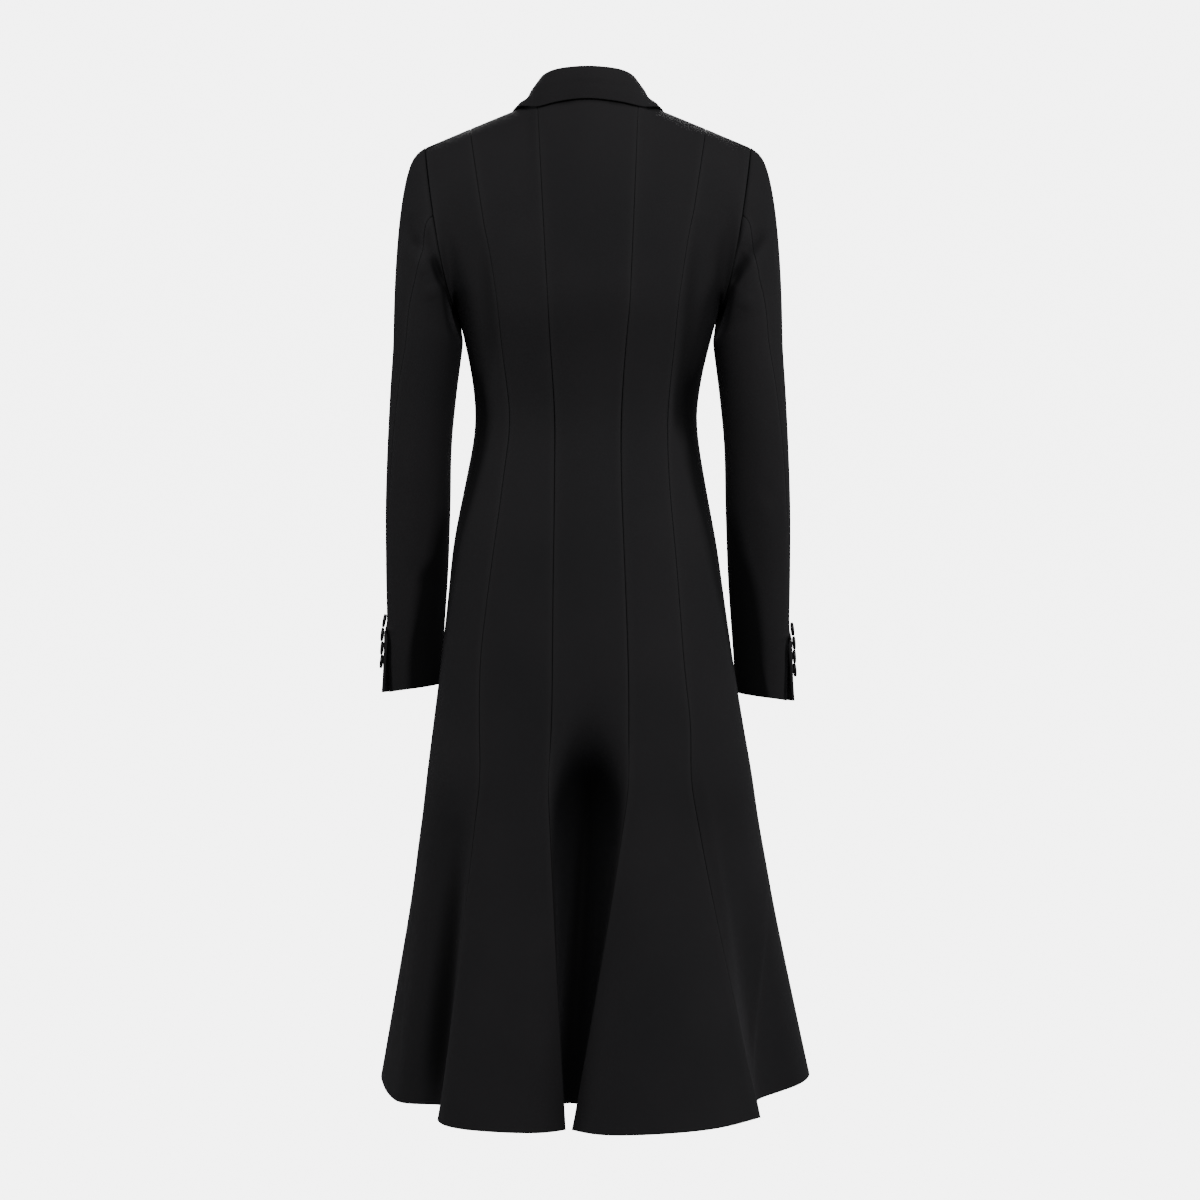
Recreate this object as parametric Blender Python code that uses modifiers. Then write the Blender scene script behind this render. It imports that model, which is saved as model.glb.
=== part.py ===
"""A fitted, flared wool coat, hollow, in the form that it has when it is worn.

Metres, +Z up. The back faces -Y, the front faces +Y, and the wearer's left is at -X.
The origin lies between the shoulders, level with the base of the neck.
Each panel is a grid of points, rows from hem to top and columns round the body, and a wall is made from it.
"""

import math

import bpy
import bmesh
import numpy as np
from mathutils import Vector
from mathutils.bvhtree import BVHTree

LEFT, RIGHT = -1, 1
SIDE_NAMES = {LEFT: "left", RIGHT: "right"}

CLOTH = 0.0022
COLLAR_CLOTH = 0.0026
SEAM_GAP = 0.0003
LAY_GAP = 0.0006

HEM = -1.163
FLARE_TOP = -0.775
UNDERARM = -0.235
FLARE_SPREAD = 1.12
ROUNDNESS = 2.35

FLARE_ROWS = 9
BODY_ROWS = 12
UPPER_ROWS = 9

# The fitted body: how far it reaches to each side of the middle, back and forward, at each height.
TORSO_COLUMNS = ("height", "left", "right", "back", "front")
TORSO = (
    (-0.775, 0.1880, 0.1915, 0.143, 0.150),
    (-0.700, 0.1785, 0.1785, 0.138, 0.138),
    (-0.640, 0.1710, 0.1690, 0.133, 0.129),
    (-0.570, 0.1635, 0.1590, 0.126, 0.120),
    (-0.500, 0.1560, 0.1490, 0.115, 0.111),
    (-0.430, 0.1420, 0.1360, 0.100, 0.103),
    (-0.360, 0.1313, 0.1276, 0.089, 0.098),
    (-0.290, 0.1400, 0.1385, 0.097, 0.110),
    (-0.235, 0.1525, 0.1525, 0.106, 0.120),
)

# Where the long seams run on each side of the middle, at each height.
SEAM_COLUMNS = ("height", "inner left", "inner right", "outer left", "outer right", "front")
SEAMS = (
    (-0.775, 0.0430, 0.0455, 0.1212, 0.1170, 0.105),
    (-0.700, 0.0400, 0.0463, 0.1225, 0.1145, 0.100),
    (-0.640, 0.0392, 0.0455, 0.1215, 0.1090, 0.097),
    (-0.570, 0.0388, 0.0432, 0.1140, 0.1040, 0.094),
    (-0.500, 0.0380, 0.0405, 0.1050, 0.0985, 0.088),
    (-0.430, 0.0375, 0.0382, 0.0960, 0.0930, 0.078),
    (-0.360, 0.0377, 0.0385, 0.0895, 0.0925, 0.072),
    (-0.290, 0.0420, 0.0430, 0.0985, 0.0995, 0.080),
    (-0.235, 0.0450, 0.0480, 0.1045, 0.1050, 0.088),
)

# The hem seen from above, panel by panel from the middle of the back:
# across, forward, and rise above the lowest line.
HEM_PATH = {
    LEFT: {
        "back_centre": (
            (-0.0210, 0.0120, 0.000),
            (-0.0330, 0.0000, 0.000),
            (-0.0400, -0.0400, 0.001),
            (-0.0385, -0.0900, 0.001),
            (-0.0232, -0.1400, 0.000),
        ),
        "back_inner": (
            (-0.0232, -0.1400, 0.000),
            (-0.0360, -0.1520, 0.000),
            (-0.0650, -0.1580, 0.000),
            (-0.1173, -0.1480, 0.000),
            (-0.1553, -0.1250, 0.000),
            (-0.1735, -0.0850, 0.000),
        ),
        "back_outer": (
            (-0.1735, -0.0850, 0.000),
            (-0.1600, -0.0400, 0.001),
            (-0.1650, -0.0110, 0.001),
            (-0.1850, -0.0020, 0.001),
            (-0.2135, 0.0090, 0.000),
            (-0.2400, 0.0650, 0.002),
            (-0.2535, 0.1250, 0.010),
        ),
        "front_side": (
            (-0.2535, 0.1250, 0.010),
            (-0.2490, 0.1650, 0.010),
            (-0.2260, 0.1940, 0.009),
            (-0.1960, 0.1950, 0.008),
            (-0.1680, 0.2030, 0.007),
            (-0.1420, 0.2390, 0.006),
        ),
        "front": (
            (-0.1420, 0.2390, 0.006),
            (-0.1180, 0.2430, 0.006),
            (-0.0800, 0.2290, 0.005),
            (-0.0400, 0.2170, 0.004),
            (0.0300, 0.2130, 0.004),
        ),
    },
    RIGHT: {
        "back_centre": (
            (-0.0210, 0.0120, 0.000),
            (-0.0090, 0.0000, 0.000),
            (-0.0020, -0.0400, 0.001),
            (-0.0035, -0.0900, 0.001),
            (-0.0183, -0.1400, 0.000),
        ),
        "back_inner": (
            (-0.0183, -0.1400, 0.000),
            (-0.0060, -0.1590, 0.000),
            (0.0328, -0.1700, 0.000),
            (0.0870, -0.1620, 0.000),
            (0.1440, -0.1290, -0.001),
            (0.1985, -0.0560, -0.003),
        ),
        "back_outer": (
            (0.1985, -0.0560, -0.003),
            (0.1930, -0.0060, 0.000),
            (0.2040, 0.0380, 0.000),
            (0.2320, 0.0800, 0.001),
            (0.2610, 0.1170, 0.005),
            (0.2720, 0.1500, 0.008),
        ),
        "front_side": (
            (0.2720, 0.1500, 0.008),
            (0.2665, 0.1830, 0.009),
            (0.2380, 0.2060, 0.008),
            (0.2050, 0.2030, 0.008),
            (0.1760, 0.2100, 0.007),
            (0.1480, 0.2450, 0.006),
        ),
        "front": (
            (0.1480, 0.2450, 0.006),
            (0.1230, 0.2480, 0.006),
            (0.0820, 0.2320, 0.005),
            (0.0400, 0.2190, 0.004),
            (-0.0300, 0.2160, 0.004),
        ),
    },
}

PANEL_ORDER = ("back_centre", "back_inner", "back_outer", "front_side", "front")
PANEL_COLUMNS = {"back_centre": 5, "back_inner": 6, "back_outer": 9, "front_side": 6, "front": 6}

# How far the centre back panel has sunk into its fold,
# beyond the straight run from the flare's top to the hem, and how straight it goes in from its seams:
# 0 leaves them in a round bend, and 1 goes in like a wedge.
FOLD_COLUMNS = ("height", "depth", "straightness")
FOLD_HEAD = (
    (HEM, 0.000, 1.0),
    (-1.077, 0.018, 1.0),
    (-0.991, 0.042, 1.0),
    (-0.904, 0.068, 1.0),
    (-0.861, 0.078, 1.0),
    (-0.818, 0.078, 1.0),
    (-0.775, 0.060, 0.6),
    (-0.730, 0.015, 0.0),
    (-0.685, 0.003, 0.0),
    (-0.640, 0.000, 0.0),
    (UNDERARM, 0.000, 0.0),
)
WEDGE_TIP = 1.4

NECK_POINT = (0.0720, 0.0000, 0.0070)
SHOULDER_POINT = (0.1900, 0.0000, -0.0425)
NECK_BACK = (0.0000, -0.0600, 0.0110)
INNER_SEAM_ON_NECK = 0.0590
NECK_COLUMN_ON_INNER_PANEL = 0.0680
OUTER_SEAM_ON_SHOULDER = 0.1380
SHOULDER_SAG = -0.0005
FRONT_LAP = 0.0300
LAP_DEPTH = 0.0016
LAP_SPREAD = 1.8
LAP_FULL_ROWS = 3

# The two bends of a column above the underarm:
# how it leaves the ring below, and how it comes to the seam above.
BACK_RISE = (0.0, -0.004, 0.085)
BACK_AT_NECK = (0.0, -0.017, -0.045)
BACK_AT_SHOULDER = (0.0, -0.052, -0.013)
NECK_TURN_POWER = 1.3
BACK_ARM_RISE = (0.005, -0.086, 0.000)
BACK_ARM_TOP = (-0.010, -0.085, -0.085)
FRONT_RISE = (0.0, 0.004, 0.080)
FRONT_AT_NECK = (0.0, 0.062, -0.020)
FRONT_AT_SHOULDER = (0.0, 0.050, -0.014)
FRONT_ARM_RISE = (-0.004, 0.078, 0.000)
FRONT_ARM_TOP = (-0.022, 0.074, -0.090)

# The sleeve: outer and inner edge seen from behind, back and front edge seen from the side, at each height.
SLEEVE_COLUMNS = ("height", "outer", "inner", "back", "front")
SLEEVE = (
    (-0.676, 0.2355, 0.1750, 0.002, 0.076),
    (-0.620, 0.2370, 0.1705, -0.012, 0.071),
    (-0.540, 0.2375, 0.1645, -0.029, 0.064),
    (-0.460, 0.2370, 0.1612, -0.045, 0.060),
    (-0.385, 0.2340, 0.1590, -0.056, 0.058),
    (-0.330, 0.2310, 0.1535, -0.060, 0.059),
    (-0.275, 0.2275, 0.1465, -0.063, 0.061),
)
SLEEVE_TOP_ROW = -0.275
SLEEVE_ROWS = 9
CAP_ROWS = 6
SLEEVE_ROUNDNESS = 2.15
CUFF_DROP = {LEFT: 0.000, RIGHT: 0.010}
CUFF_SLANT = 0.010
ARMHOLE_GAP = 0.0006
LEAST_LEAN = 0.02
# The sleeve head: how it leaves the armhole seam, and how far the arm below it goes straight up.
CAP_BACKWARD = 0.30
CAP_DOWNWARD = 1.10
CAP_ROLL = 0.006
CAP_RISE = 0.42

# Turns round the sleeve, in degrees from its outer edge towards the back:
# the back seam moves outward down the arm.
SEAM_TURN_COLUMNS = ("height", "back seam", "front seam")
SEAM_TURN = (
    (-0.690, 14.0, 214.0),
    (-0.560, 26.0, 212.0),
    (-0.420, 44.0, 210.0),
    (-0.275, 60.0, 210.0),
)
TOP_SLEEVE_BACK_COLUMNS = 3
SLEEVE_COLUMN_COUNT = UPPER_ROWS

# The open vent at the cuff: heights of its rows above the cuff,
# and how the top sleeve's back edge laps and lifts.
VENT_COLUMNS = ("height", "lap turn", "lift")
VENT = (
    (0.000, 16.0, 0.0110),
    (0.020, 16.0, 0.0085),
    (0.041, 16.0, 0.0066),
    (0.062, 16.0, 0.0050),
    (0.074, -1.2, 0.0042),
    (0.086, 0.0, 0.0000),
)
VENT_BEND = (1.0, 0.80, 0.42, 0.12)

# The collar, from the middle of the back to its front end, at the right side:
# seam on the neck, roll edge and outer edge.
COLLAR_COLUMNS = ("seam", "roll", "edge")
COLLAR = (
    ((0.0000, -0.0590, 0.0130), (0.0000, -0.0565, 0.0372), (0.0000, -0.0690, 0.0035)),
    ((0.0330, -0.0530, 0.0125), (0.0290, -0.0495, 0.0364), (0.0390, -0.0640, 0.0020)),
    ((0.0560, -0.0330, 0.0110), (0.0470, -0.0310, 0.0340), (0.0650, -0.0450, 0.0000)),
    ((0.0660, 0.0010, 0.0110), (0.0540, -0.0010, 0.0310), (0.0850, 0.0000, 0.0030)),
    ((0.0645, 0.0200, 0.0010), (0.0565, 0.0230, 0.0200), (0.0980, 0.0280, -0.0120)),
    ((0.0600, 0.0370, -0.0150), (0.0570, 0.0400, 0.0000), (0.1080, 0.0500, -0.0200)),
    ((0.0560, 0.0475, -0.0280), (0.0560, 0.0500, -0.0235), (0.1150, 0.0660, -0.0300)),
)
COLLAR_HALF_COLUMNS = 10
COLLAR_LAY = 0.0042
COLLAR_BULGE = 0.0014
STAND_ROWS = 2
STAND_END = 5.3
# The fall's hook over the stand: across and up from the roll line, square to it.
ROLL_HOOK = ((-0.0016, 0.0040), (0.0026, 0.0038), (0.0066, -0.0010))
FALL_SHARES = (0.35, 0.70, 1.0)
NOTCH = (0.0955, -0.0485)
NOTCH_SHARE = 0.66
# Where the surface round a point is felt for, so that a laid edge also clears a ridge beside it.
PROBES = ((0.0, 0.0, 0.0), (0.006, 0.0, 0.0), (-0.006, 0.0, 0.0), (0.0, 0.006, 0.0), (0.0, -0.006, 0.0))

# The lapel seen from the front, at the right side:
# its outer edge from the break of the front up to its point.
LAPEL_EDGE = (
    (-0.0200, -0.2310),
    (0.0280, -0.1960),
    (0.0740, -0.1480),
    (0.1090, -0.1010),
    (0.1270, -0.0660),
)
LAPEL_BREAK = -0.2340
LAPEL_TOP = -0.0300
LEFT_LAPEL_BREAK = -0.1900
LAPEL_LAY = 0.0036
LAPEL_ROW_CLEAR = 0.006
LAPEL_SHARES = (0.10, 0.28, 0.46, 0.64, 0.82, 1.0)
LAPEL_HOOK = ((-0.0034, 0.0000), (-0.0023, 0.0033))
LAPEL_CLEAR = 0.0062
LAPEL_CROSSING = 0.0015
COVERED_STEP = 0.0012

# Buttons: radius and height of the turned outline, from the middle of the face round the rim to the back.
CUFF_BUTTON = (
    (0.0000, 0.0020),
    (0.0052, 0.0020),
    (0.0062, 0.0028),
    (0.0078, 0.0020),
    (0.0078, 0.0006),
    (0.0000, 0.0000),
)
FRONT_BUTTON = (
    (0.0000, 0.0024),
    (0.0078, 0.0024),
    (0.0090, 0.0036),
    (0.0115, 0.0026),
    (0.0115, 0.0008),
    (0.0000, 0.0000),
)
CUFF_BUTTON_PITCH = 0.0160
CUFF_BUTTON_LOWEST = 0.0365
CUFF_BUTTONS = 4
FRONT_BUTTON_HEIGHTS = (-0.262, -0.352, -0.442)
BUTTON_STEPS = 14
FINE_STEPS = 200
IN_FRONT = 0.6

CLOTH_COLOUR = (0.012, 0.012, 0.013, 1.0)
BUTTON_COLOUR = (0.010, 0.010, 0.010, 1.0)
CLOTH_ROUGHNESS = 0.85
BUTTON_ROUGHNESS = 0.35


def read_table(table, columns, name, at):
    """One named column of a table at any height, on a smooth curve through the rows."""
    rows = sorted(table)
    heights = np.array([row[0] for row in rows])
    values = np.array([row[columns.index(name)] for row in rows])
    slopes = np.gradient(values, heights)
    at = min(max(at, heights[0]), heights[-1])
    k = int(min(max(np.searchsorted(heights, at) - 1, 0), len(heights) - 2))
    span = heights[k + 1] - heights[k]
    t = (at - heights[k]) / span
    start = (1 + 2 * t) * (1 - t) ** 2 * values[k] + t * (1 - t) ** 2 * span * slopes[k]
    end = t * t * (3 - 2 * t) * values[k + 1] + t * t * (t - 1) * span * slopes[k + 1]
    return float(start + end)


def smooth_path(points, count):
    """A smooth curve through the points, as count + 1 points at even distances."""
    points = np.array(points, float)
    knots = np.concatenate([[0.0], np.cumsum(np.linalg.norm(np.diff(points, axis=0), axis=1))])
    slopes = np.gradient(points, knots, axis=0)
    fine = []
    for k in range(len(points) - 1):
        span = knots[k + 1] - knots[k]
        for t in np.linspace(0, 1, 25)[:-1]:
            start = (1 + 2 * t) * (1 - t) ** 2 * points[k] + t * (1 - t) ** 2 * span * slopes[k]
            end = t * t * (3 - 2 * t) * points[k + 1] + t * t * (t - 1) * span * slopes[k + 1]
            fine.append(start + end)
    fine = np.array(fine + [points[-1]])
    along = np.concatenate([[0.0], np.cumsum(np.linalg.norm(np.diff(fine, axis=0), axis=1))])
    wanted = np.linspace(0, along[-1], count + 1)
    return np.array([[np.interp(s, along, fine[:, k]) for k in range(points.shape[1])] for s in wanted])


def bezier(controls, t):
    a, b, c, d = (np.array(p, float) for p in controls)
    return (1 - t) ** 3 * a + 3 * t * (1 - t) ** 2 * b + 3 * t * t * (1 - t) * c + t**3 * d


def mix(a, b, share):
    return np.array(a, float) * (1 - share) + np.array(b, float) * share


def torso_reach(side, height):
    """Half width, back depth and front depth of the fitted body."""
    half_width = read_table(TORSO, TORSO_COLUMNS, SIDE_NAMES[side], height)
    back = read_table(TORSO, TORSO_COLUMNS, "back", height)
    front = read_table(TORSO, TORSO_COLUMNS, "front", height)
    return half_width, back, front


def torso_point(side, height, turn):
    """Plan point on the fitted body, turn radians from centre back (0) by the side to centre front (pi)."""
    half_width, back, front = torso_reach(side, height)
    depth = back if math.cos(turn) > 0 else front
    across = abs(math.sin(turn) / half_width) ** ROUNDNESS
    along = abs(math.cos(turn) / depth) ** ROUNDNESS
    radius = (across + along) ** (-1 / ROUNDNESS)
    return np.array([side * radius * math.sin(turn), -radius * math.cos(turn)])


def turn_at(side, height, across, in_front):
    """The turn at which the fitted body is this far from the middle."""
    half_width, back, front = torso_reach(side, height)
    share = min(abs(across) / half_width, 1.0)
    depth = (front if in_front else back) * (1 - share**ROUNDNESS) ** (1 / ROUNDNESS)
    turn = math.atan2(abs(across), depth)
    if not in_front:
        return turn
    return math.pi + turn if across < 0 else math.pi - turn


def panel_turns(side, panel, height):
    """The turns of a panel's two seams at a height."""
    name = SIDE_NAMES[side]
    inner = turn_at(side, height, read_table(SEAMS, SEAM_COLUMNS, "inner " + name, height), False)
    outer = turn_at(side, height, read_table(SEAMS, SEAM_COLUMNS, "outer " + name, height), False)
    shaping = turn_at(side, height, read_table(SEAMS, SEAM_COLUMNS, "front", height), True)
    edge = turn_at(side, height, -FRONT_LAP, True)
    bounds = (0.0, inner, outer, math.pi / 2, shaping, edge)
    k = PANEL_ORDER.index(panel)
    return bounds[k], bounds[k + 1]


def fold_dent(panel, height, share):
    """How far the centre back panel is pushed in, from its middle (share 0) to its seam (share 1)."""
    if panel != "back_centre":
        return 0.0
    depth, straightness = (read_table(FOLD_HEAD, FOLD_COLUMNS, name, height) for name in FOLD_COLUMNS[1:])
    bend = math.cos(share * math.pi / 2) ** 2
    wedge = 1 - share**WEDGE_TIP
    return depth * (bend + (wedge - bend) * straightness)


def lap_offset(side, panel, share):
    """The right front lies outside the left one: each moves half the step, growing from the shaping seam."""
    if panel != "front":
        return 0.0
    return side * LAP_DEPTH * min(1.0, share * LAP_SPREAD)


def lower_rows(side, panel):
    """Rows of points from the hem up to the underarm."""
    count = PANEL_COLUMNS[panel]
    hem = smooth_path(HEM_PATH[side][panel], count)
    first, last = panel_turns(side, panel, FLARE_TOP)
    flare = [torso_point(side, FLARE_TOP, first + (last - first) * k / count) for k in range(count + 1)]
    rows = []
    for i in range(FLARE_ROWS, 0, -1):
        spread = i / FLARE_ROWS
        row = []
        for k in range(count + 1):
            height = FLARE_TOP + (HEM + hem[k][2] - FLARE_TOP) * spread
            plan = mix(flare[k], hem[k][:2], spread**FLARE_SPREAD)
            row.append([plan[0], plan[1] + fold_dent(panel, height, k / count), height])
        rows.append(row)
    for i in range(BODY_ROWS + 1):
        height = FLARE_TOP + (UNDERARM - FLARE_TOP) * i / BODY_ROWS
        first, last = panel_turns(side, panel, height)
        row = []
        for k in range(count + 1):
            plan = torso_point(side, height, first + (last - first) * k / count)
            row.append([plan[0], plan[1] + fold_dent(panel, height, k / count), height])
        rows.append(row)
    return rows


def on_neck(across):
    """A point on the back neck seam, this far from the middle."""
    turn = math.asin(min(across / NECK_POINT[0], 1.0))
    height = mix(NECK_BACK, NECK_POINT, across / NECK_POINT[0])[2]
    return np.array([across, NECK_BACK[1] * math.cos(turn), height])


def on_shoulder(across):
    """A point on the shoulder seam, this far from the middle."""
    share = (across - NECK_POINT[0]) / (SHOULDER_POINT[0] - NECK_POINT[0])
    point = mix(NECK_POINT, SHOULDER_POINT, share)
    point[2] -= SHOULDER_SAG * math.sin(math.pi * share)
    return point


def top_points(panel):
    """Where each column of a panel ends: on the neck seam or the shoulder seam, at the right side."""
    count = PANEL_COLUMNS[panel]
    if panel == "back_centre":
        return [on_neck(INNER_SEAM_ON_NECK * k / count) for k in range(count + 1)]
    if panel == "back_inner":
        neck = [on_neck(INNER_SEAM_ON_NECK), on_neck(NECK_COLUMN_ON_INNER_PANEL)]
        steps = count - len(neck)
        reach = OUTER_SEAM_ON_SHOULDER - NECK_POINT[0]
        return neck + [on_shoulder(NECK_POINT[0] + reach * k / steps) for k in range(steps + 1)]
    ends = {
        "back_outer": (OUTER_SEAM_ON_SHOULDER, SHOULDER_POINT[0]),
        "front_side": (SHOULDER_POINT[0], OUTER_SEAM_ON_SHOULDER),
        "front": (OUTER_SEAM_ON_SHOULDER, NECK_POINT[0]),
    }
    start, end = ends[panel]
    return [on_shoulder(start + (end - start) * k / count) for k in range(count + 1)]


def column_bends(panel, share, top):
    """How a column leaves the ring below and reaches the seam above, and how far it follows the armhole."""
    if panel in ("back_centre", "back_inner"):
        round_neck = (1 - top[1] / NECK_BACK[1]) ** NECK_TURN_POWER
        return np.array(BACK_RISE), mix(BACK_AT_NECK, BACK_AT_SHOULDER, round_neck)
    if panel == "back_outer":
        arm = share**2
        return mix(BACK_RISE, BACK_ARM_RISE, arm), mix(BACK_AT_SHOULDER, BACK_ARM_TOP, arm)
    if panel == "front_side":
        arm = (1 - share) ** 2
        return mix(FRONT_RISE, FRONT_ARM_RISE, arm), mix(FRONT_AT_SHOULDER, FRONT_ARM_TOP, arm)
    return np.array(FRONT_RISE), mix(FRONT_AT_SHOULDER, FRONT_AT_NECK, share)


def column_controls(side, panel, k):
    """The four control points of one column above the underarm."""
    count = PANEL_COLUMNS[panel]
    first, last = panel_turns(side, panel, UNDERARM)
    plan = torso_point(side, UNDERARM, first + (last - first) * k / count)
    bottom = np.array([plan[0], plan[1], UNDERARM])
    top = np.array(top_points(panel)[k])
    rise, fall = column_bends(panel, k / count, top)
    mirror = np.array([side, 1, 1])
    top = top * mirror
    second, third = bottom + rise * mirror, top + fall * mirror
    straight = (top[0] - bottom[0]) / (top[2] - bottom[2])
    second[0] += straight * rise[2]
    third[0] += straight * fall[2] if abs(fall[0]) < 1e-6 else 0.0
    return bottom, second, third, top


def upper_rows(side, panel):
    """Rows of points from the underarm to the neck and shoulder seams."""
    columns = [column_controls(side, panel, k) for k in range(PANEL_COLUMNS[panel] + 1)]
    return [[bezier(c, i / UPPER_ROWS) for c in columns] for i in range(1, UPPER_ROWS + 1)]


def half_panel(side, panel):
    """All the points of a panel on one side, with the fronts' lap."""
    lower = lower_rows(side, panel)
    grid = np.array(lower + upper_rows(side, panel), float)
    fade = np.interp(np.arange(len(grid)), (len(lower) + LAP_FULL_ROWS, len(grid) - 1), (1.0, 0.0))
    for k in range(grid.shape[1]):
        grid[:, k, 1] += lap_offset(side, panel, k / (grid.shape[1] - 1)) * fade
    return grid if side == RIGHT else grid[:, ::-1]


def body_panels():
    """Every panel's points by name, columns running anticlockwise seen from above."""
    halves = half_panel(LEFT, "back_centre"), half_panel(RIGHT, "back_centre")[:, 1:]
    panels = {"back_centre": np.concatenate(halves, axis=1)}
    for side in (LEFT, RIGHT):
        for panel in PANEL_ORDER[1:]:
            panels[f"{panel}_{SIDE_NAMES[side]}"] = half_panel(side, panel)
    return panels


def armhole(side, along):
    """A point on the armhole seam: 0 at the underarm, 1 at the shoulder by the back, 2 back at 0."""
    if along <= 1:
        return bezier(column_controls(side, "back_outer", PANEL_COLUMNS["back_outer"]), along)
    return bezier(column_controls(side, "front_side", 0), 2 - along)


def sleeve_section(height, turn):
    """A point of the right sleeve at a height, turn radians from its outer edge towards the back."""
    outer, inner, back, front = (read_table(SLEEVE, SLEEVE_COLUMNS, n, height) for n in SLEEVE_COLUMNS[1:])
    half_width, half_depth = (outer - inner) / 2, (front - back) / 2
    across = abs(math.cos(turn) / half_width) ** SLEEVE_ROUNDNESS
    along = abs(math.sin(turn) / half_depth) ** SLEEVE_ROUNDNESS
    radius = (across + along) ** (-1 / SLEEVE_ROUNDNESS)
    return (outer + inner) / 2 + radius * math.cos(turn), (back + front) / 2 - radius * math.sin(turn)


def sleeve_turns(height, piece):
    """The turns of a sleeve piece's columns, from the front seam (top) or from the back seam (under)."""
    back = read_table(SEAM_TURN, SEAM_TURN_COLUMNS, "back seam", height)
    front = read_table(SEAM_TURN, SEAM_TURN_COLUMNS, "front seam", height)
    start, end = (front - 360, back) if piece == "top" else (back, front)
    return [start + (end - start) * k / SLEEVE_COLUMN_COUNT for k in range(SLEEVE_COLUMN_COUNT + 1)]


def vent(height_above_cuff, columns_from_edge):
    """Extra turn and lift of the top sleeve's back edge along the open vent."""
    if height_above_cuff >= VENT[-1][0] or columns_from_edge >= len(VENT_BEND):
        return 0.0, 0.0
    heights, laps, lifts = ([row[VENT_COLUMNS.index(n)] for row in VENT] for n in VENT_COLUMNS)
    lap = np.interp(height_above_cuff, heights, laps)
    lift = np.interp(height_above_cuff, heights, lifts)
    bend = VENT_BEND[columns_from_edge]
    return lap * bend, lift * bend


def armhole_share(piece, k):
    """Where a sleeve column starts on the armhole seam."""
    first = UPPER_ROWS - TOP_SLEEVE_BACK_COLUMNS if piece == "top" else -TOP_SLEEVE_BACK_COLUMNS
    along = 1 + (first - k) / UPPER_ROWS
    return along if along >= 0 else 2 + along


def sleeve_heights():
    """Heights of the sleeve's rows, from the cuff up through the vent to the first full ring."""
    cuff = SLEEVE[0][0]
    low = [cuff + row[0] for row in VENT]
    return low + [low[-1] + (SLEEVE_TOP_ROW - low[-1]) * i / SLEEVE_ROWS for i in range(1, SLEEVE_ROWS + 1)]


def sleeve_piece(side, piece):
    """Rows of points of a top or under sleeve, from the cuff up to the armhole."""
    cuff = SLEEVE[0][0]
    mirror = np.array([side, 1, 1])
    rows = []
    for height in sleeve_heights():
        low = (SLEEVE_TOP_ROW - height) / (SLEEVE_TOP_ROW - cuff)
        turns = sleeve_turns(height, piece)
        row = []
        for k, degrees in enumerate(turns):
            lap, lift = vent(height - cuff, len(turns) - 1 - k) if piece == "top" else (0.0, 0.0)
            turn = math.radians(degrees + lap)
            x, y = sleeve_section(height, turn)
            x += lift * math.cos(turn)
            y -= lift * math.sin(turn)
            drop = CUFF_DROP[side] * low + CUFF_SLANT / 2 * low**2 * math.cos(turn)
            row.append(np.array([x, y, height - drop]) * mirror)
        rows.append(row)
    below = rows[-1]
    for i in range(1, CAP_ROWS + 1):
        rows.append([cap_point(side, piece, k, below[k], i / CAP_ROWS) for k in range(len(below))])
    grid = np.array(rows, float)
    return grid[:, ::-1] if side == RIGHT else grid


def cap_point(side, piece, k, below, share):
    """A point of the sleeve head between the arm's first full ring and the armhole seam."""
    along = armhole_share(piece, k)
    seam = armhole(side, along) + np.array([side * ARMHOLE_GAP, 0, 0])
    turn = math.pi * (1 - along)
    outward = (1 + math.cos(turn)) / 2
    reach = np.linalg.norm(seam - below)
    sideways = side * (0.05 + 0.95 * outward)
    leave = np.array([sideways, -CAP_BACKWARD * math.sin(turn), -CAP_DOWNWARD * (1 - outward)])
    leave /= np.linalg.norm(leave)
    upper = seam + leave * (CAP_ROLL + reach * (0.03 + 0.07 * outward))
    lower = below + np.array([0, 0, reach * CAP_RISE])
    return bezier((below, lower, upper, seam), share)


def face_normals(grid):
    """One outward direction for each cell of a grid."""
    across = grid[:-1, 1:] + grid[1:, 1:] - grid[:-1, :-1] - grid[1:, :-1]
    upward = grid[1:, :-1] + grid[1:, 1:] - grid[:-1, :-1] - grid[:-1, 1:]
    normals = np.cross(across, upward)
    return normals / np.maximum(np.linalg.norm(normals, axis=2, keepdims=True), 1e-12)


def shared_normals(grids):
    """Outward directions at each grid's points, the same on both sides of a seam."""
    total = {}
    for grid in grids.values():
        cells = face_normals(grid)
        for i in range(cells.shape[0]):
            for j in range(cells.shape[1]):
                for di, dj in ((0, 0), (0, 1), (1, 1), (1, 0)):
                    key = tuple(np.round(grid[i + di, j + dj], 6))
                    total[key] = total.get(key, np.zeros(3)) + cells[i, j]
    normals = {}
    for name, grid in grids.items():
        found = np.array([[total[tuple(np.round(p, 6))] for p in row] for row in grid])
        normals[name] = found / np.linalg.norm(found, axis=2, keepdims=True)
    return normals


def inset(grid, gaps):
    """Moves a grid's edges inward: gaps are for the first and last column, then the bottom and top row."""
    moved = grid.copy()
    first, last, bottom, top = gaps

    def step(towards, edge, gap):
        direction = towards - edge
        return edge + direction / np.linalg.norm(direction, axis=1, keepdims=True) * gap

    moved[:, 0] = step(grid[:, 1], grid[:, 0], first) if first else grid[:, 0]
    moved[:, -1] = step(grid[:, -2], grid[:, -1], last) if last else grid[:, -1]
    shifted = moved.copy()
    shifted[0] = step(moved[1], moved[0], bottom) if bottom else moved[0]
    shifted[-1] = step(moved[-2], moved[-1], top) if top else moved[-1]
    return shifted


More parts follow.
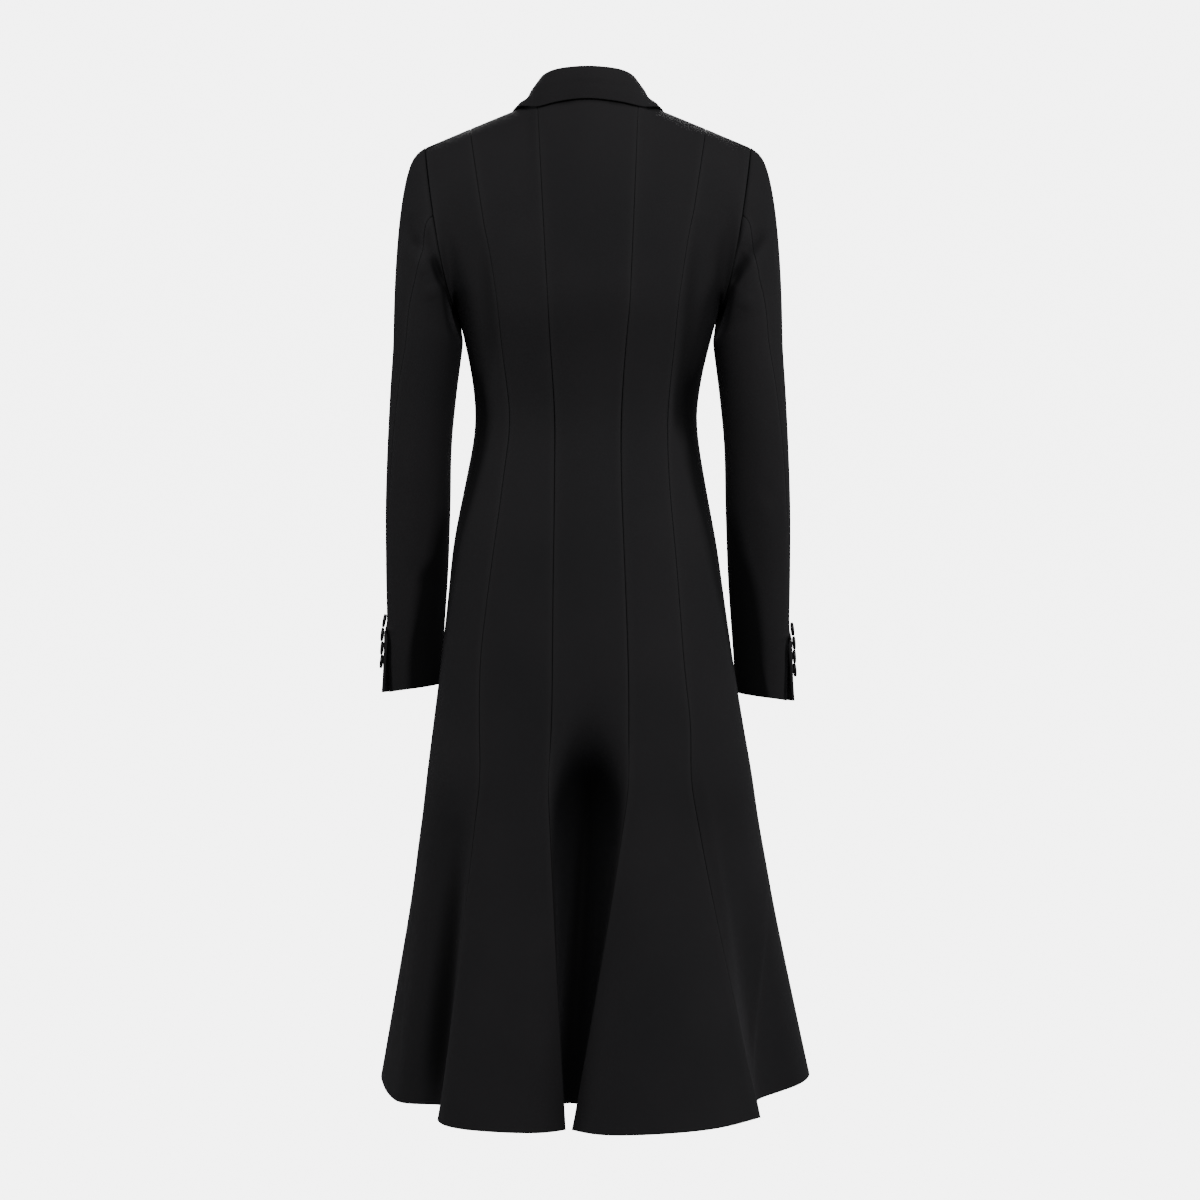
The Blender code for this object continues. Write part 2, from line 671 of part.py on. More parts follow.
def material(name, colour, roughness):
    made = bpy.data.materials.new(name)
    made.use_nodes = True
    shader = made.node_tree.nodes["Principled BSDF"]
    shader.inputs["Base Color"].default_value = colour
    shader.inputs["Roughness"].default_value = roughness
    return made


def add_object(name, bm, colour, roughness):
    """Puts a finished mesh in the coat's collection, shaded smooth, with its own material."""
    mesh = bpy.data.meshes.new(name)
    bm.to_mesh(mesh)
    bm.free()
    mesh.shade_smooth()
    mesh.set_sharp_from_angle(angle=math.radians(40))
    mesh.materials.append(material(name, colour, roughness))
    made = bpy.data.objects.new(name, mesh)
    bpy.data.collections[COLLECTION].objects.link(made)
    return made


def add_wall(name, grid, normals, thickness, gaps):
    """A closed wall of cloth: the grid is its outer face, and its inner face lies a thickness further in."""
    outer = inset(grid, gaps)
    inner = outer - normals * thickness
    bm = bmesh.new()
    rows, columns = grid.shape[:2]
    faces = {}
    for layer, points in (("out", outer), ("in", inner)):
        faces[layer] = [[bm.verts.new(points[i, j]) for j in range(columns)] for i in range(rows)]
    out, inside = faces["out"], faces["in"]
    for i in range(rows - 1):
        for j in range(columns - 1):
            bm.faces.new((out[i][j], out[i][j + 1], out[i + 1][j + 1], out[i + 1][j]))
            bm.faces.new((inside[i][j], inside[i + 1][j], inside[i + 1][j + 1], inside[i][j + 1]))
    for j in range(columns - 1):
        bm.faces.new((out[0][j + 1], out[0][j], inside[0][j], inside[0][j + 1]))
        bm.faces.new((out[-1][j], out[-1][j + 1], inside[-1][j + 1], inside[-1][j]))
    for i in range(rows - 1):
        # Both sides of a seam are split along the same diagonal, so that a twisted seam keeps its gap.
        bm.faces.new((out[i][0], out[i + 1][0], inside[i + 1][0]))
        bm.faces.new((out[i][0], inside[i + 1][0], inside[i][0]))
        bm.faces.new((out[i + 1][-1], out[i][-1], inside[i + 1][-1]))
        bm.faces.new((out[i][-1], inside[i][-1], inside[i + 1][-1]))
    return add_object(name, bm, CLOTH_COLOUR, CLOTH_ROUGHNESS)


def surface_tree(grids):
    """A searchable surface of the panels' outer faces."""
    points, cells = [], []
    for grid in grids:
        start, (rows, columns) = len(points), grid.shape[:2]
        points += [Vector(p) for row in grid for p in row]
        for i in range(rows - 1):
            for j in range(columns - 1):
                a = start + i * columns + j
                cells.append((a, a + 1, a + columns + 1, a + columns))
    return BVHTree.FromPolygons(points, cells)


def held_off(point, tree, gap):
    """The point, moved out along the surface's normal where it lies nearer to it than the gap."""
    place, normal, _, _ = tree.find_nearest(Vector(point))
    height = (Vector(point) - place).dot(normal)
    return np.array(point, float) if height >= gap else laid_on(point, tree, gap)


def front_point(tree, across, height):
    """The outermost point of the fronts at a place seen from the front, with its normal."""
    hit = tree.ray_cast(Vector((across, IN_FRONT, height)), Vector((0, -1, 0)))
    return np.array(hit[0]), np.array(hit[1])


def smooth_row(points, at):
    """A point on a smooth curve through the points, at a place counted in points."""
    points = np.array(points, float)
    slopes = np.gradient(points, axis=0)
    k = int(min(math.floor(at), len(points) - 2))
    t = at - k
    start = (1 + 2 * t) * (1 - t) ** 2 * points[k] + t * (1 - t) ** 2 * slopes[k]
    return start + t * t * (3 - 2 * t) * points[k + 1] + t * t * (t - 1) * slopes[k + 1]


def collar_line(name, end):
    """One of the collar's three lines, from its left end round the back to its right end."""
    right = [row[COLLAR_COLUMNS.index(name)] for row in COLLAR]
    places = [end * k / COLLAR_HALF_COLUMNS for k in range(COLLAR_HALF_COLUMNS + 1)]
    half = np.array([smooth_row(right, at) for at in places])
    half[0, 0] = 0.0
    return np.concatenate([half[:0:-1] * [-1, 1, 1], half])


def laid_on(point, tree, gap):
    """The point's place on the surface, moved out until it is the gap away from the surface round it."""
    place = tree.find_nearest(Vector(point))[0]
    around = [tree.find_nearest(place + Vector(step))[1] for step in PROBES]
    normal = sum(around, Vector()).normalized()
    return np.array(place + normal * gap / min(normal.dot(other) for other in around))


def stand_grid():
    seam, roll = collar_line("seam", STAND_END), collar_line("roll", STAND_END)
    return np.array([mix(seam, roll, i / STAND_ROWS) for i in range(STAND_ROWS + 1)])


def fall_grid(tree):
    """The turned-down part of the collar: from its outer edge on the coat up to a hook over the stand."""
    end = len(COLLAR) - 1
    roll, edge = collar_line("roll", end), collar_line("edge", end)
    along = np.gradient(roll, axis=0)
    columns = []
    for j in range(len(roll)):
        low = laid_on(edge[j], tree, COLLAR_LAY)
        upward = np.cross((low - roll[j]) * [1, 1, 0], along[j])
        upward *= np.sign(upward[2]) / np.linalg.norm(upward)
        outward = np.cross(along[j], upward)
        outward *= np.sign(outward.dot(low - roll[j])) / np.linalg.norm(outward)
        hook = [roll[j] + outward * across + upward * up for across, up in ROLL_HOOK]
        column = hook + [mix(hook[-1], low, share) for share in FALL_SHARES]
        if j in (0, len(roll) - 1):
            side = LEFT if j == 0 else RIGHT
            notch = front_point(tree, side * NOTCH[0], NOTCH[1])[0]
            column[3:] = notched(hook[-1], notch, low)
        else:
            column[3:-1] = [p + outward * COLLAR_BULGE for p in column[3:-1]]
        column[3:] = [held_off(p, tree, COLLAR_LAY) for p in column[3:]]
        columns.append(column[::-1])
    return np.array(columns).transpose(1, 0, 2)


def notched(start, notch, end):
    """The end of the collar: along the lapel's top edge to the notch, then up to the collar's own point."""
    found = []
    for share in FALL_SHARES:
        if share < NOTCH_SHARE:
            found.append(mix(start, notch, share / NOTCH_SHARE))
        else:
            found.append(mix(notch, end, (share - NOTCH_SHARE) / (1 - NOTCH_SHARE)))
    return found


def edge_at(column, height):
    """A point of a front's inner edge at a height."""
    order = np.argsort(column[:, 2])
    return np.array([np.interp(height, column[order, 2], column[order, k]) for k in range(3)])


def lapel_heights(side, own, right, start):
    """Heights of the lapel's rows: the front's own, and two where the right front begins to cover it."""
    inside = [z for z in own[:, 2] if start + LAPEL_ROW_CLEAR < z < LAPEL_TOP - LAPEL_ROW_CLEAR]
    if side == LEFT:
        crossing = max(z for z in np.linspace(start, LAPEL_TOP, FINE_STEPS) if is_covered(own, right, z))
        inside = [z for z in inside if abs(z - crossing) > LAPEL_ROW_CLEAR]
        inside += [crossing - LAPEL_CROSSING, crossing + LAPEL_CROSSING]
    return [start] + sorted(inside) + [LAPEL_TOP]


def is_covered(own, right, height):
    """Whether the right front lies over the left front's edge at this height."""
    return edge_at(own, height)[0] > edge_at(right, height)[0] - LAPEL_CLEAR


def lapel_grid(side, panels, tree):
    """The turned-back top of a front, laid on it, with its inner edge hooked round the roll."""
    own = panels[f"front_{SIDE_NAMES[side]}"][:, -1 if side == RIGHT else 0]
    right = panels["front_right"][:, -1]
    start = LAPEL_BREAK if side == RIGHT else LEFT_LAPEL_BREAK
    outer = smooth_path(LAPEL_EDGE, FINE_STEPS)
    first = int(np.searchsorted(outer[:, 1], start))
    rows = []
    for height in lapel_heights(side, own, right, start):
        share_up = (height - start) / (LAPEL_TOP - start)
        roll = edge_at(own, height)
        covered = side == LEFT and is_covered(own, right, height)
        if covered:
            roll = edge_at(right, height) - [LAPEL_CLEAR, 0, 0]
        far = outer[round(first + (FINE_STEPS - first) * share_up)] * [side, 1]
        row = []
        for k, (across, out) in enumerate(LAPEL_HOOK):
            if covered:
                place = front_point(tree, roll[0] + side * COVERED_STEP * k, height)
                row.append(place[0] + place[1] * LAPEL_LAY)
            else:
                facing = np.array(tree.find_nearest(Vector(roll))[1])
                row.append(roll + [side * across, 0, 0] + facing * out)
        for share in LAPEL_SHARES:
            across = roll[0] + (far[0] - roll[0]) * share
            place = front_point(tree, across, height + (far[1] - height) * share)
            row.append(laid_on(place[0], tree, LAPEL_LAY))
        rows.append(row)
    grid = np.array(rows, float)
    return grid[:, ::-1] if side == RIGHT else grid


def add_button(name, outline, place, facing):
    """A turned button: its back lies at the place, and its face looks along the direction."""
    mesh = bpy.data.meshes.new(name)
    points = [(radius, 0.0, height) for radius, height in outline]
    mesh.from_pydata(points, [(k, k + 1) for k in range(len(points) - 1)], [])
    mesh.materials.append(material(name, BUTTON_COLOUR, BUTTON_ROUGHNESS))
    button = bpy.data.objects.new(name, mesh)
    bpy.data.collections[COLLECTION].objects.link(button)
    turned = button.modifiers.new("turned", "SCREW")
    turned.steps = BUTTON_STEPS
    turned.render_steps = BUTTON_STEPS
    turned.use_merge_vertices = True
    turned.merge_threshold = 0.00001
    button.location = Vector(place)
    button.rotation_mode = "QUATERNION"
    button.rotation_quaternion = Vector(facing).to_track_quat("Z", "Y")
    return button


def build_body():
    panels = body_panels()
    normals = shared_normals(panels)
    armhole_rows = slice(FLARE_ROWS + BODY_ROWS, None)
    for side in (LEFT, RIGHT):
        for panel, column in (("back_outer", -1), ("front_side", 0)):
            name = f"{panel}_{SIDE_NAMES[side]}"
            edge = column if side == RIGHT else -1 - column
            away = normals[name][armhole_rows, edge]
            away[:, 0] = side * np.maximum(away[:, 0] * side, LEAST_LEAN)
            normals[name][armhole_rows, edge] = away / np.linalg.norm(away, axis=1, keepdims=True)
    for name, grid in panels.items():
        ridge = np.abs(grid[-1, :, 0]) > NECK_POINT[0] - 1e-6
        top = normals[name][-1]
        top[ridge, 1] = 0.0
        normals[name][-1] = top / np.linalg.norm(top, axis=1, keepdims=True)
    half = SEAM_GAP / 2
    for name, grid in panels.items():
        front = name.startswith("front_left") or name.startswith("front_right")
        first = 0.0 if front and name.endswith("left") else half
        last = 0.0 if front and name.endswith("right") else half
        add_wall(name, grid, normals[name], CLOTH, (first, last, 0.0, half))
    return panels


def build_sleeves():
    for side in (LEFT, RIGHT):
        pieces = {piece: sleeve_piece(side, piece) for piece in ("top", "under")}
        normals = shared_normals(pieces)
        gaps = (SEAM_GAP / 2, SEAM_GAP / 2, 0.0, 0.0)
        for piece, grid in pieces.items():
            top = normals[piece][-1]
            top[:, 0] = side * np.minimum(top[:, 0] * side, -LEAST_LEAN)
            normals[piece][-1] = top / np.linalg.norm(top, axis=1, keepdims=True)
            add_wall(f"sleeve_{piece}_{SIDE_NAMES[side]}", grid, normals[piece], CLOTH, gaps)
        add_cuff_buttons(side, pieces["top"], normals["top"])


def add_cuff_buttons(side, grid, normals):
    """Four buttons that nearly touch, up the lifted edge of the vent."""
    column = 1 if side == RIGHT else -2
    points, facing = grid[:len(VENT), column], normals[:len(VENT), column]
    cuff = points[0][2]
    for k in range(CUFF_BUTTONS):
        height = cuff + CUFF_BUTTON_LOWEST + CUFF_BUTTON_PITCH * (CUFF_BUTTONS - 1 - k)
        place = np.array([np.interp(height, points[:, 2], points[:, axis]) for axis in range(3)])
        towards = np.array([np.interp(height, points[:, 2], facing[:, axis]) for axis in range(3)])
        towards /= np.linalg.norm(towards)
        name = f"cuff_button_{SIDE_NAMES[side]}_{k + 1}"
        add_button(name, CUFF_BUTTON, place + towards * LAY_GAP, towards)


def build_collar_and_lapels(panels):
    body = surface_tree(panels.values())
    fronts = surface_tree(grid for name, grid in panels.items() if name.startswith("front"))
    stand = {"stand": stand_grid()}
    add_wall("collar_stand", stand["stand"], shared_normals(stand)["stand"], CLOTH, (0.0, 0.0, 0.0, 0.0))
    fall = {"fall": fall_grid(body)}
    add_wall("collar_fall", fall["fall"], shared_normals(fall)["fall"], COLLAR_CLOTH, (0.0, 0.0, 0.0, 0.0))
    for side in (LEFT, RIGHT):
        lapel = {"lapel": lapel_grid(side, panels, fronts)}
        name = f"lapel_{SIDE_NAMES[side]}"
        add_wall(name, lapel["lapel"], shared_normals(lapel)["lapel"], CLOTH, (0.0, 0.0, 0.0, 0.0))
    for k, height in enumerate(FRONT_BUTTON_HEIGHTS):
        place, normal = front_point(fronts, 0.0, height)
        add_button(f"front_button_{k + 1}", FRONT_BUTTON, place + normal * LAY_GAP, normal)


def remove_startup_objects():
    for found in list(bpy.data.objects):
        bpy.data.objects.remove(found)


COLLECTION = "wool_coat"


def main():
    remove_startup_objects()
    collection = bpy.data.collections.new(COLLECTION)
    bpy.context.scene.collection.children.link(collection)
    panels = build_body()
    build_sleeves()
    build_collar_and_lapels(panels)


main()
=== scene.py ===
# %% [markdown]
# # A fitted, flared wool coat, seen from behind
# The imported model of the coat comes in first. It holds the true sizes of every panel, so each piece that is
# dressed here starts from the panel it stands for, and nothing has to be fitted by eye.

# %% Load the measured coat
import math

import bmesh
import bpy
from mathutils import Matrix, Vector
from mathutils.bvhtree import BVHTree
from mathutils.kdtree import KDTree


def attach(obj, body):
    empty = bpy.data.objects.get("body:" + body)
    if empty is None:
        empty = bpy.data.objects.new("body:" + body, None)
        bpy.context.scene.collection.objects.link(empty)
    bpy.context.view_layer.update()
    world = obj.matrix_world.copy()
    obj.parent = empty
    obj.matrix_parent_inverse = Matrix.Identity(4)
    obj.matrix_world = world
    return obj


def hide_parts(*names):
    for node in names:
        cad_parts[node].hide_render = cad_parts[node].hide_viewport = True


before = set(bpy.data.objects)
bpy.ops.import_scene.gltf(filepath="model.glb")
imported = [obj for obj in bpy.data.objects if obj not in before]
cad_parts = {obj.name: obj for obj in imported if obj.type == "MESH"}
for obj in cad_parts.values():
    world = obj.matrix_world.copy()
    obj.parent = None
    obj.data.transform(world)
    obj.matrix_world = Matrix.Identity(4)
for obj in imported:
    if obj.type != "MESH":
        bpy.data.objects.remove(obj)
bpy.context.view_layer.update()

# %% [markdown]
# ## The camera
# The photographer stood straight behind the coat, level with its waist, about three metres away. A level
# camera with a long lens keeps the hem and the shoulders in their true proportion.

# %% The camera, three metres behind the coat
CAMERA_PLACE = (0.014, -3.0, -0.572)
LENS = 76.95
SENSOR = 36.0

bpy.ops.object.camera_add(location=CAMERA_PLACE, rotation=(math.radians(90), 0, 0))
camera = bpy.context.object
camera.name = "camera"
camera.data.sensor_width = SENSOR
camera.data.lens = LENS
bpy.context.scene.camera = camera
print("camera at", tuple(camera.location))

# %% [markdown]
# ## The studio
# The coat hangs in front of pale paper that lies flat as the floor and curves up all round, so that no line
# shows where the floor ends, from whichever side the coat is seen. The paper starts as a disc. Its rim is
# pulled up into a wall, and the edge between them is rounded.

# %% A pale floor that curves up all round
FLOOR_Z = -1.55
PAPER_RADIUS = 5.4
PAPER_HEIGHT = 5.0
PAPER_BEND = 1.4
PAPER_BEND_STEPS = 24
PAPER_SIDES = 96
FLOOR_SLACK = 0.01


def clear_selection():
    """Deselects everything, so that the next operator acts on one piece alone."""
    if bpy.context.object and bpy.context.object.mode != "OBJECT":
        bpy.ops.object.mode_set(mode="OBJECT")
    bpy.ops.object.select_all(action="DESELECT")


def choose(piece):
    """Makes one piece the active one, and the only one selected."""
    clear_selection()
    bpy.context.view_layer.objects.active = piece
    piece.select_set(True)


def edit(piece):
    """Opens the mesh of one piece."""
    choose(piece)
    bpy.ops.object.mode_set(mode="EDIT")


def pick(piece, test, kind="EDGE"):
    """Selects the edges, faces or points of the open mesh that pass a test."""
    bpy.ops.mesh.select_mode(type=kind)
    bpy.ops.mesh.select_all(action="DESELECT")
    mesh = bmesh.from_edit_mesh(piece.data)
    parts = {"VERT": mesh.verts, "EDGE": mesh.edges, "FACE": mesh.faces}[kind]
    for part in parts:
        part.select_set(bool(test(part)))
    mesh.select_flush_mode()
    bmesh.update_edit_mesh(piece.data)


clear_selection()
bpy.ops.mesh.primitive_circle_add(
    vertices=PAPER_SIDES, radius=PAPER_RADIUS, fill_type="NGON", location=(0, 0, FLOOR_Z))
paper = bpy.context.object
paper.name = "paper_floor"
bpy.ops.object.transform_apply(location=True, rotation=True, scale=True)
edit(paper)
pick(paper, lambda edge: True)
bpy.ops.mesh.extrude_edges_move(TRANSFORM_OT_translate={"value": (0, 0, PAPER_HEIGHT)})
pick(paper, lambda edge: all(abs(v.co.z - FLOOR_Z) < FLOOR_SLACK for v in edge.verts))
bpy.ops.mesh.bevel(offset=PAPER_BEND, segments=PAPER_BEND_STEPS, affect="EDGES")
bpy.ops.object.mode_set(mode="OBJECT")
bpy.ops.object.shade_smooth()
print("paper faces:", len(paper.data.polygons))

# %% [markdown]
# ## The paper's finish
# Studio paper is matte and pale, and the photographer lights it far more than the coat, with lamps that
# don't reach the coat. So the paper glows to the camera, while the coat only receives the soft light that
# such paper throws back. A trace of uneven tone keeps it from looking like a flat fill.

# %% Matte pale paper
PAPER_TONE = (0.20, 0.20, 0.205, 1.0)
PAPER_GLOW = 5.6
PAPER_UNEVEN = 0.985
PAPER_BLOTCHES = 0.8


def new_material(name):
    """A material with its Principled shader, ready to be wired."""
    material = bpy.data.materials.new(name)
    material.use_nodes = True
    return material, material.node_tree, material.node_tree.nodes["Principled BSDF"]


def node(tree, kind, inputs=None, **settings):
    """Adds one node, sets its properties, and links or sets its inputs."""
    made = tree.nodes.new(kind)
    for key, value in settings.items():
        setattr(made, key, value)
    for key, value in (inputs or {}).items():
        if isinstance(value, bpy.types.NodeSocket):
            tree.links.new(value, made.inputs[key])
        else:
            made.inputs[key].default_value = value
    return made


paper_finish, tree, shader = new_material("studio_paper")
place = node(tree, "ShaderNodeTexCoord")
tone = node(tree, "ShaderNodeTexNoise", {"Vector": place.outputs["Object"], "Scale": PAPER_BLOTCHES})
uneven = node(
    tree, "ShaderNodeMapRange", {"Value": tone.outputs["Fac"], "To Min": PAPER_UNEVEN, "To Max": 1.0})
to_camera = node(tree, "ShaderNodeLightPath")
glow = node(
    tree, "ShaderNodeMath", {0: to_camera.outputs["Is Camera Ray"], 1: uneven.outputs["Result"]},
    operation="MULTIPLY")
glow = node(tree, "ShaderNodeMath", {0: glow.outputs[0], 1: PAPER_GLOW}, operation="MULTIPLY")
tree.links.new(glow.outputs[0], shader.inputs["Emission Strength"])
shader.inputs["Emission Color"].default_value = (1.0, 1.0, 1.0, 1.0)
shader.inputs["Base Color"].default_value = PAPER_TONE
shader.inputs["Roughness"].default_value = 0.95
shader.inputs["Specular IOR Level"].default_value = 0.1
paper.data.materials.append(paper_finish)
print("paper finish made")

# %% [markdown]
# ## The light
# The photograph's light is soft and comes from above the photographer. The back is evenly lit, and the
# cloth turns black only where it faces down or in: under the arch of the back fold, at the waist, and on
# the inside of the sleeves. A broad softbox stands high behind the camera and another high on the far side,
# strips at both sides lift the outer sleeves, and a dim even sky fills the rest.

# %% Softboxes and an even sky
LAMPS = (
    # name, place, aimed at, width, height, watts
    ("key_softbox", (0.5, -4.6, 3.2), (0, 0, -0.6), 2.6, 1.4, 300.0),
    ("far_softbox", (0.0, 4.6, 3.2), (0, 0, -0.6), 2.6, 1.4, 260.0),
    ("left_strip", (-3.4, -0.4, 0.6), (0, 0, -0.5), 0.8, 2.4, 30.0),
    ("right_strip", (3.4, -0.4, 0.6), (0, 0, -0.5), 0.8, 2.4, 45.0),
)
SKY_COLOUR = (0.96, 0.97, 1.0, 1.0)
SKY_STRENGTH = 0.03

for name, spot, target, width, height, watts in LAMPS:
    bpy.ops.object.light_add(type="AREA", location=spot)
    lamp = bpy.context.object
    lamp.name = name
    lamp.data.shape = "RECTANGLE"
    lamp.data.size = width
    lamp.data.size_y = height
    lamp.data.energy = watts
    lamp.rotation_euler = (Vector(target) - Vector(spot)).to_track_quat("-Z", "Y").to_euler()
    lamp.visible_camera = False
    print(name, watts, "W")

sky = bpy.data.worlds.new("even_sky")
sky.use_nodes = True
sky.node_tree.nodes["Background"].inputs["Color"].default_value = SKY_COLOUR
sky.node_tree.nodes["Background"].inputs["Strength"].default_value = SKY_STRENGTH
bpy.context.scene.world = sky

# %% [markdown]
# ## Which way is out
# Several steps need the way out of the coat at a point: out from the middle of the body, out from the
# middle of the sleeve, or forwards on the lapels. The middle of each sleeve is measured from its packed
# panels.

# %% Measure the middles
BODY_MIDDLE = Vector((0.0, 0.01, 0.0))
NECK_MIDDLE_Y = 0.035
COLLAR_RISE = 0.02
SLEEVE_STEPS = 14
SLEEVE_SLICE = 0.035


def sleeve_middles(side):
    """The middle of a sleeve at each height, as pairs of height and point."""
    points = []
    for half in ("top", "under"):
        points += [v.co.copy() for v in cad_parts[f"sleeve_{half}_{side}"].data.vertices]
    lowest = min(p.z for p in points)
    highest = max(p.z for p in points)
    middles = []
    for step in range(SLEEVE_STEPS + 1):
        z = lowest + (highest - lowest) * step / SLEEVE_STEPS
        near = [p for p in points if abs(p.z - z) < SLEEVE_SLICE]
        x = (min(p.x for p in near) + max(p.x for p in near)) / 2
        y = (min(p.y for p in near) + max(p.y for p in near)) / 2
        middles.append((z, Vector((x, y, z))))
    return middles


MIDDLES = {side: sleeve_middles(side) for side in ("left", "right")}


def sleeve_middle(side, z):
    """The middle of the sleeve at one height."""
    table = MIDDLES[side]
    for (low_z, low), (high_z, high) in zip(table, table[1:]):
        if z <= high_z:
            return low.lerp(high, max(0.0, (z - low_z) / (high_z - low_z)))
    return table[-1][1]


def outward(name, point):
    """The way out of the coat at a point of a named panel."""
    if name.startswith("sleeve"):
        middle = sleeve_middle(name.split("_")[-1], point.z)
        away = Vector((point.x - middle.x, point.y - middle.y, 0))
    elif name.startswith("lapel"):
        away = Vector((0, 1, 0))
    elif name.startswith("collar"):
        away = Vector((point.x, point.y - NECK_MIDDLE_Y, COLLAR_RISE))
    else:
        away = Vector((point.x - BODY_MIDDLE.x, point.y - BODY_MIDDLE.y, 0))
    return away.normalized()


print("left cuff middle", tuple(round(v, 3) for v in MIDDLES["left"][0][1]))

# %% [markdown]
# ## One sheet of cloth for each panel
# A tailor cuts flat panels and sews them edge to edge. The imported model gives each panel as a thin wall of
# loose triangles. A copy is welded first. Every point then has a partner straight through the wall, as far
# away as the cloth is thick, and the way from the partner to the point tells the two sides apart, so the
# outer side can be kept alone.

# %% Keep the outer side of a wall
MERGE = 1e-5
NEAREST = 7
NORMAL_WEIGHT = 0.25


def outer_points(mesh, node_name):
    """The numbers of a welded wall's points that lie on its outer side."""
    tree = KDTree(len(mesh.verts))
    for point in mesh.verts:
        tree.insert(point.co, point.index)
    tree.balance()
    gaps = sorted(tree.find_n(point.co, 2)[1][2] for point in mesh.verts)
    wall = gaps[len(gaps) // 2]
    through = {}
    for point in mesh.verts:
        choices = [(point.co - place, gap) for place, row, gap in tree.find_n(point.co, NEAREST)[1:]]
        way = min(choices, key=lambda choice: abs(choice[1] - wall)
                  - choice[0].dot(point.normal) * NORMAL_WEIGHT)[0]
        through[point] = way.normalized()
    seed = max(mesh.verts, key=lambda point: through[point].dot(outward(node_name, point.co)))
    reached, flood = {seed}, [seed]
    while flood:
        point = flood.pop()
        for edge in point.link_edges:
            other = edge.other_vert(point)
            if other not in reached and through[point].dot(through[other]) > 0:
                reached.add(other)
                flood.append(other)
    return {point.index for point in reached}


def outer_sheet(node_name, name):
    """A copy of one panel, welded and stripped to its outer side."""
    sheet = bpy.data.objects.new(name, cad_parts[node_name].data.copy())
    bpy.context.scene.collection.objects.link(sheet)
    sheet.data.name = name
    sheet.data.materials.clear()
    edit(sheet)
    bpy.ops.mesh.select_all(action="SELECT")
    bpy.ops.mesh.remove_doubles(threshold=MERGE)
    mesh = bmesh.from_edit_mesh(sheet.data)
    mesh.normal_update()
    outer = outer_points(mesh, node_name)
    pick(sheet, lambda point: point.index not in outer, "VERT")
    bpy.ops.mesh.delete(type="VERT")
    bpy.ops.object.mode_set(mode="OBJECT")
    return sheet


PANELS = (
    "back_centre", "back_inner_left", "back_inner_right", "back_outer_left", "back_outer_right",
    "front_side_left", "front_side_right", "front_left", "front_right",
    "sleeve_top_left", "sleeve_top_right", "sleeve_under_left", "sleeve_under_right",
    "collar_stand", "collar_fall", "lapel_left", "lapel_right",
)
sheets = {panel: outer_sheet(panel, panel + "_cloth") for panel in PANELS}
print("outer sides:", {panel: len(sheet.data.vertices) for panel, sheet in sheets.items()})

# %% [markdown]
# ## Rows and columns
# Each panel was measured on rows and columns of points, and the triangles only cut its four-sided faces in
# two. A point's row is the number of steps from the bottom edge, and its column is the number of steps from
# one side, because no edge steps over more than one of either. An edge that changes both is a cut across a
# face, so it is dissolved, and clean four-sided faces are left to smooth.

# %% Count steps, and follow a sheet's edge
def steps_from(starts, near):
    """How many edges lie between each point and the nearest of the starting ones."""
    steps = dict.fromkeys(starts, 0)
    ring = list(starts)
    while ring:
        following = []
        for point in ring:
            for other in near[point]:
                if other not in steps:
                    steps[other] = steps[point] + 1
                    following.append(other)
        ring = following
    return steps


def border_loop(mesh):
    """The numbers of the points round a sheet's edge, in order."""
    counts = {}
    for face in mesh.polygons:
        for key in face.edge_keys:
            counts[key] = counts.get(key, 0) + 1
    near = {}
    for (a, b), count in counts.items():
        if count == 1:
            near.setdefault(a, []).append(b)
            near.setdefault(b, []).append(a)
    first = min(near)
    loop = [first, near[first][0]]
    while True:
        following = [other for other in near[loop[-1]] if other != loop[-2]][0]
        if following == first:
            return loop
        loop.append(following)


print("points round the collar:", len(border_loop(sheets["collar_fall"].data)))

# %% Find the rows and columns, and dissolve the slanting cuts
def rows_and_columns(sheet):
    """Each point's row, from the lowest edge, and its column."""
    mesh = sheet.data
    near = {vertex.index: set() for vertex in mesh.vertices}
    for a, b in mesh.edge_keys:
        near[a].add(b)
        near[b].add(a)
    loop = border_loop(mesh)
    total = len(loop) // 2 + 2
    root = math.isqrt(total * total - 4 * len(near))
    best = None
    for across in {(total - root) // 2, (total + root) // 2}:
        up = total - across
        for corner in range(len(loop)):
            turned = loop[corner:] + loop[:corner]
            bottom = turned[:across]
            side = [turned[0]] + turned[len(loop) - up + 1:]
            rows, columns = steps_from(bottom, near), steps_from(side, near)
            if len({(rows[i], columns[i]) for i in near}) < len(near) or max(columns.values()) != across - 1:
                continue
            height = sum(mesh.vertices[i].co.z for i in bottom) / across
            if best is None or height < best[0]:
                best = (height, rows, columns)
    return best[1], best[2]


for panel, sheet in sheets.items():
    rows, columns = rows_and_columns(sheet)
    edit(sheet)
    pick(sheet, lambda edge: rows[edge.verts[0].index] != rows[edge.verts[1].index]
         and columns[edge.verts[0].index] != columns[edge.verts[1].index])
    bpy.ops.mesh.dissolve_edges(use_verts=False)
    bpy.ops.object.mode_set(mode="OBJECT")
    quads = sum(len(face.vertices) == 4 for face in sheet.data.polygons)
    print(panel, max(rows.values()) + 1, "rows,", max(columns.values()) + 1, "columns,", quads, "faces")

# %% [markdown]
# ## Smoothing each sheet
# The measured panels have few faces. Two rounds of subdivision turn them into flowing cloth, and a third
# gives the sleeves enough points for their sharp creases, but subdivision also draws a surface in from its
# points. So the points are first pushed out until the smooth sheet runs through the measured ones, and
# panels still meet at their seams. The points inside the edges are then evened a little, and those of the
# inner back panels near the collar much more. Last, the first line of points inside every edge is slid up to
# the edge, so that a seam can be pressed in without moving the rest.

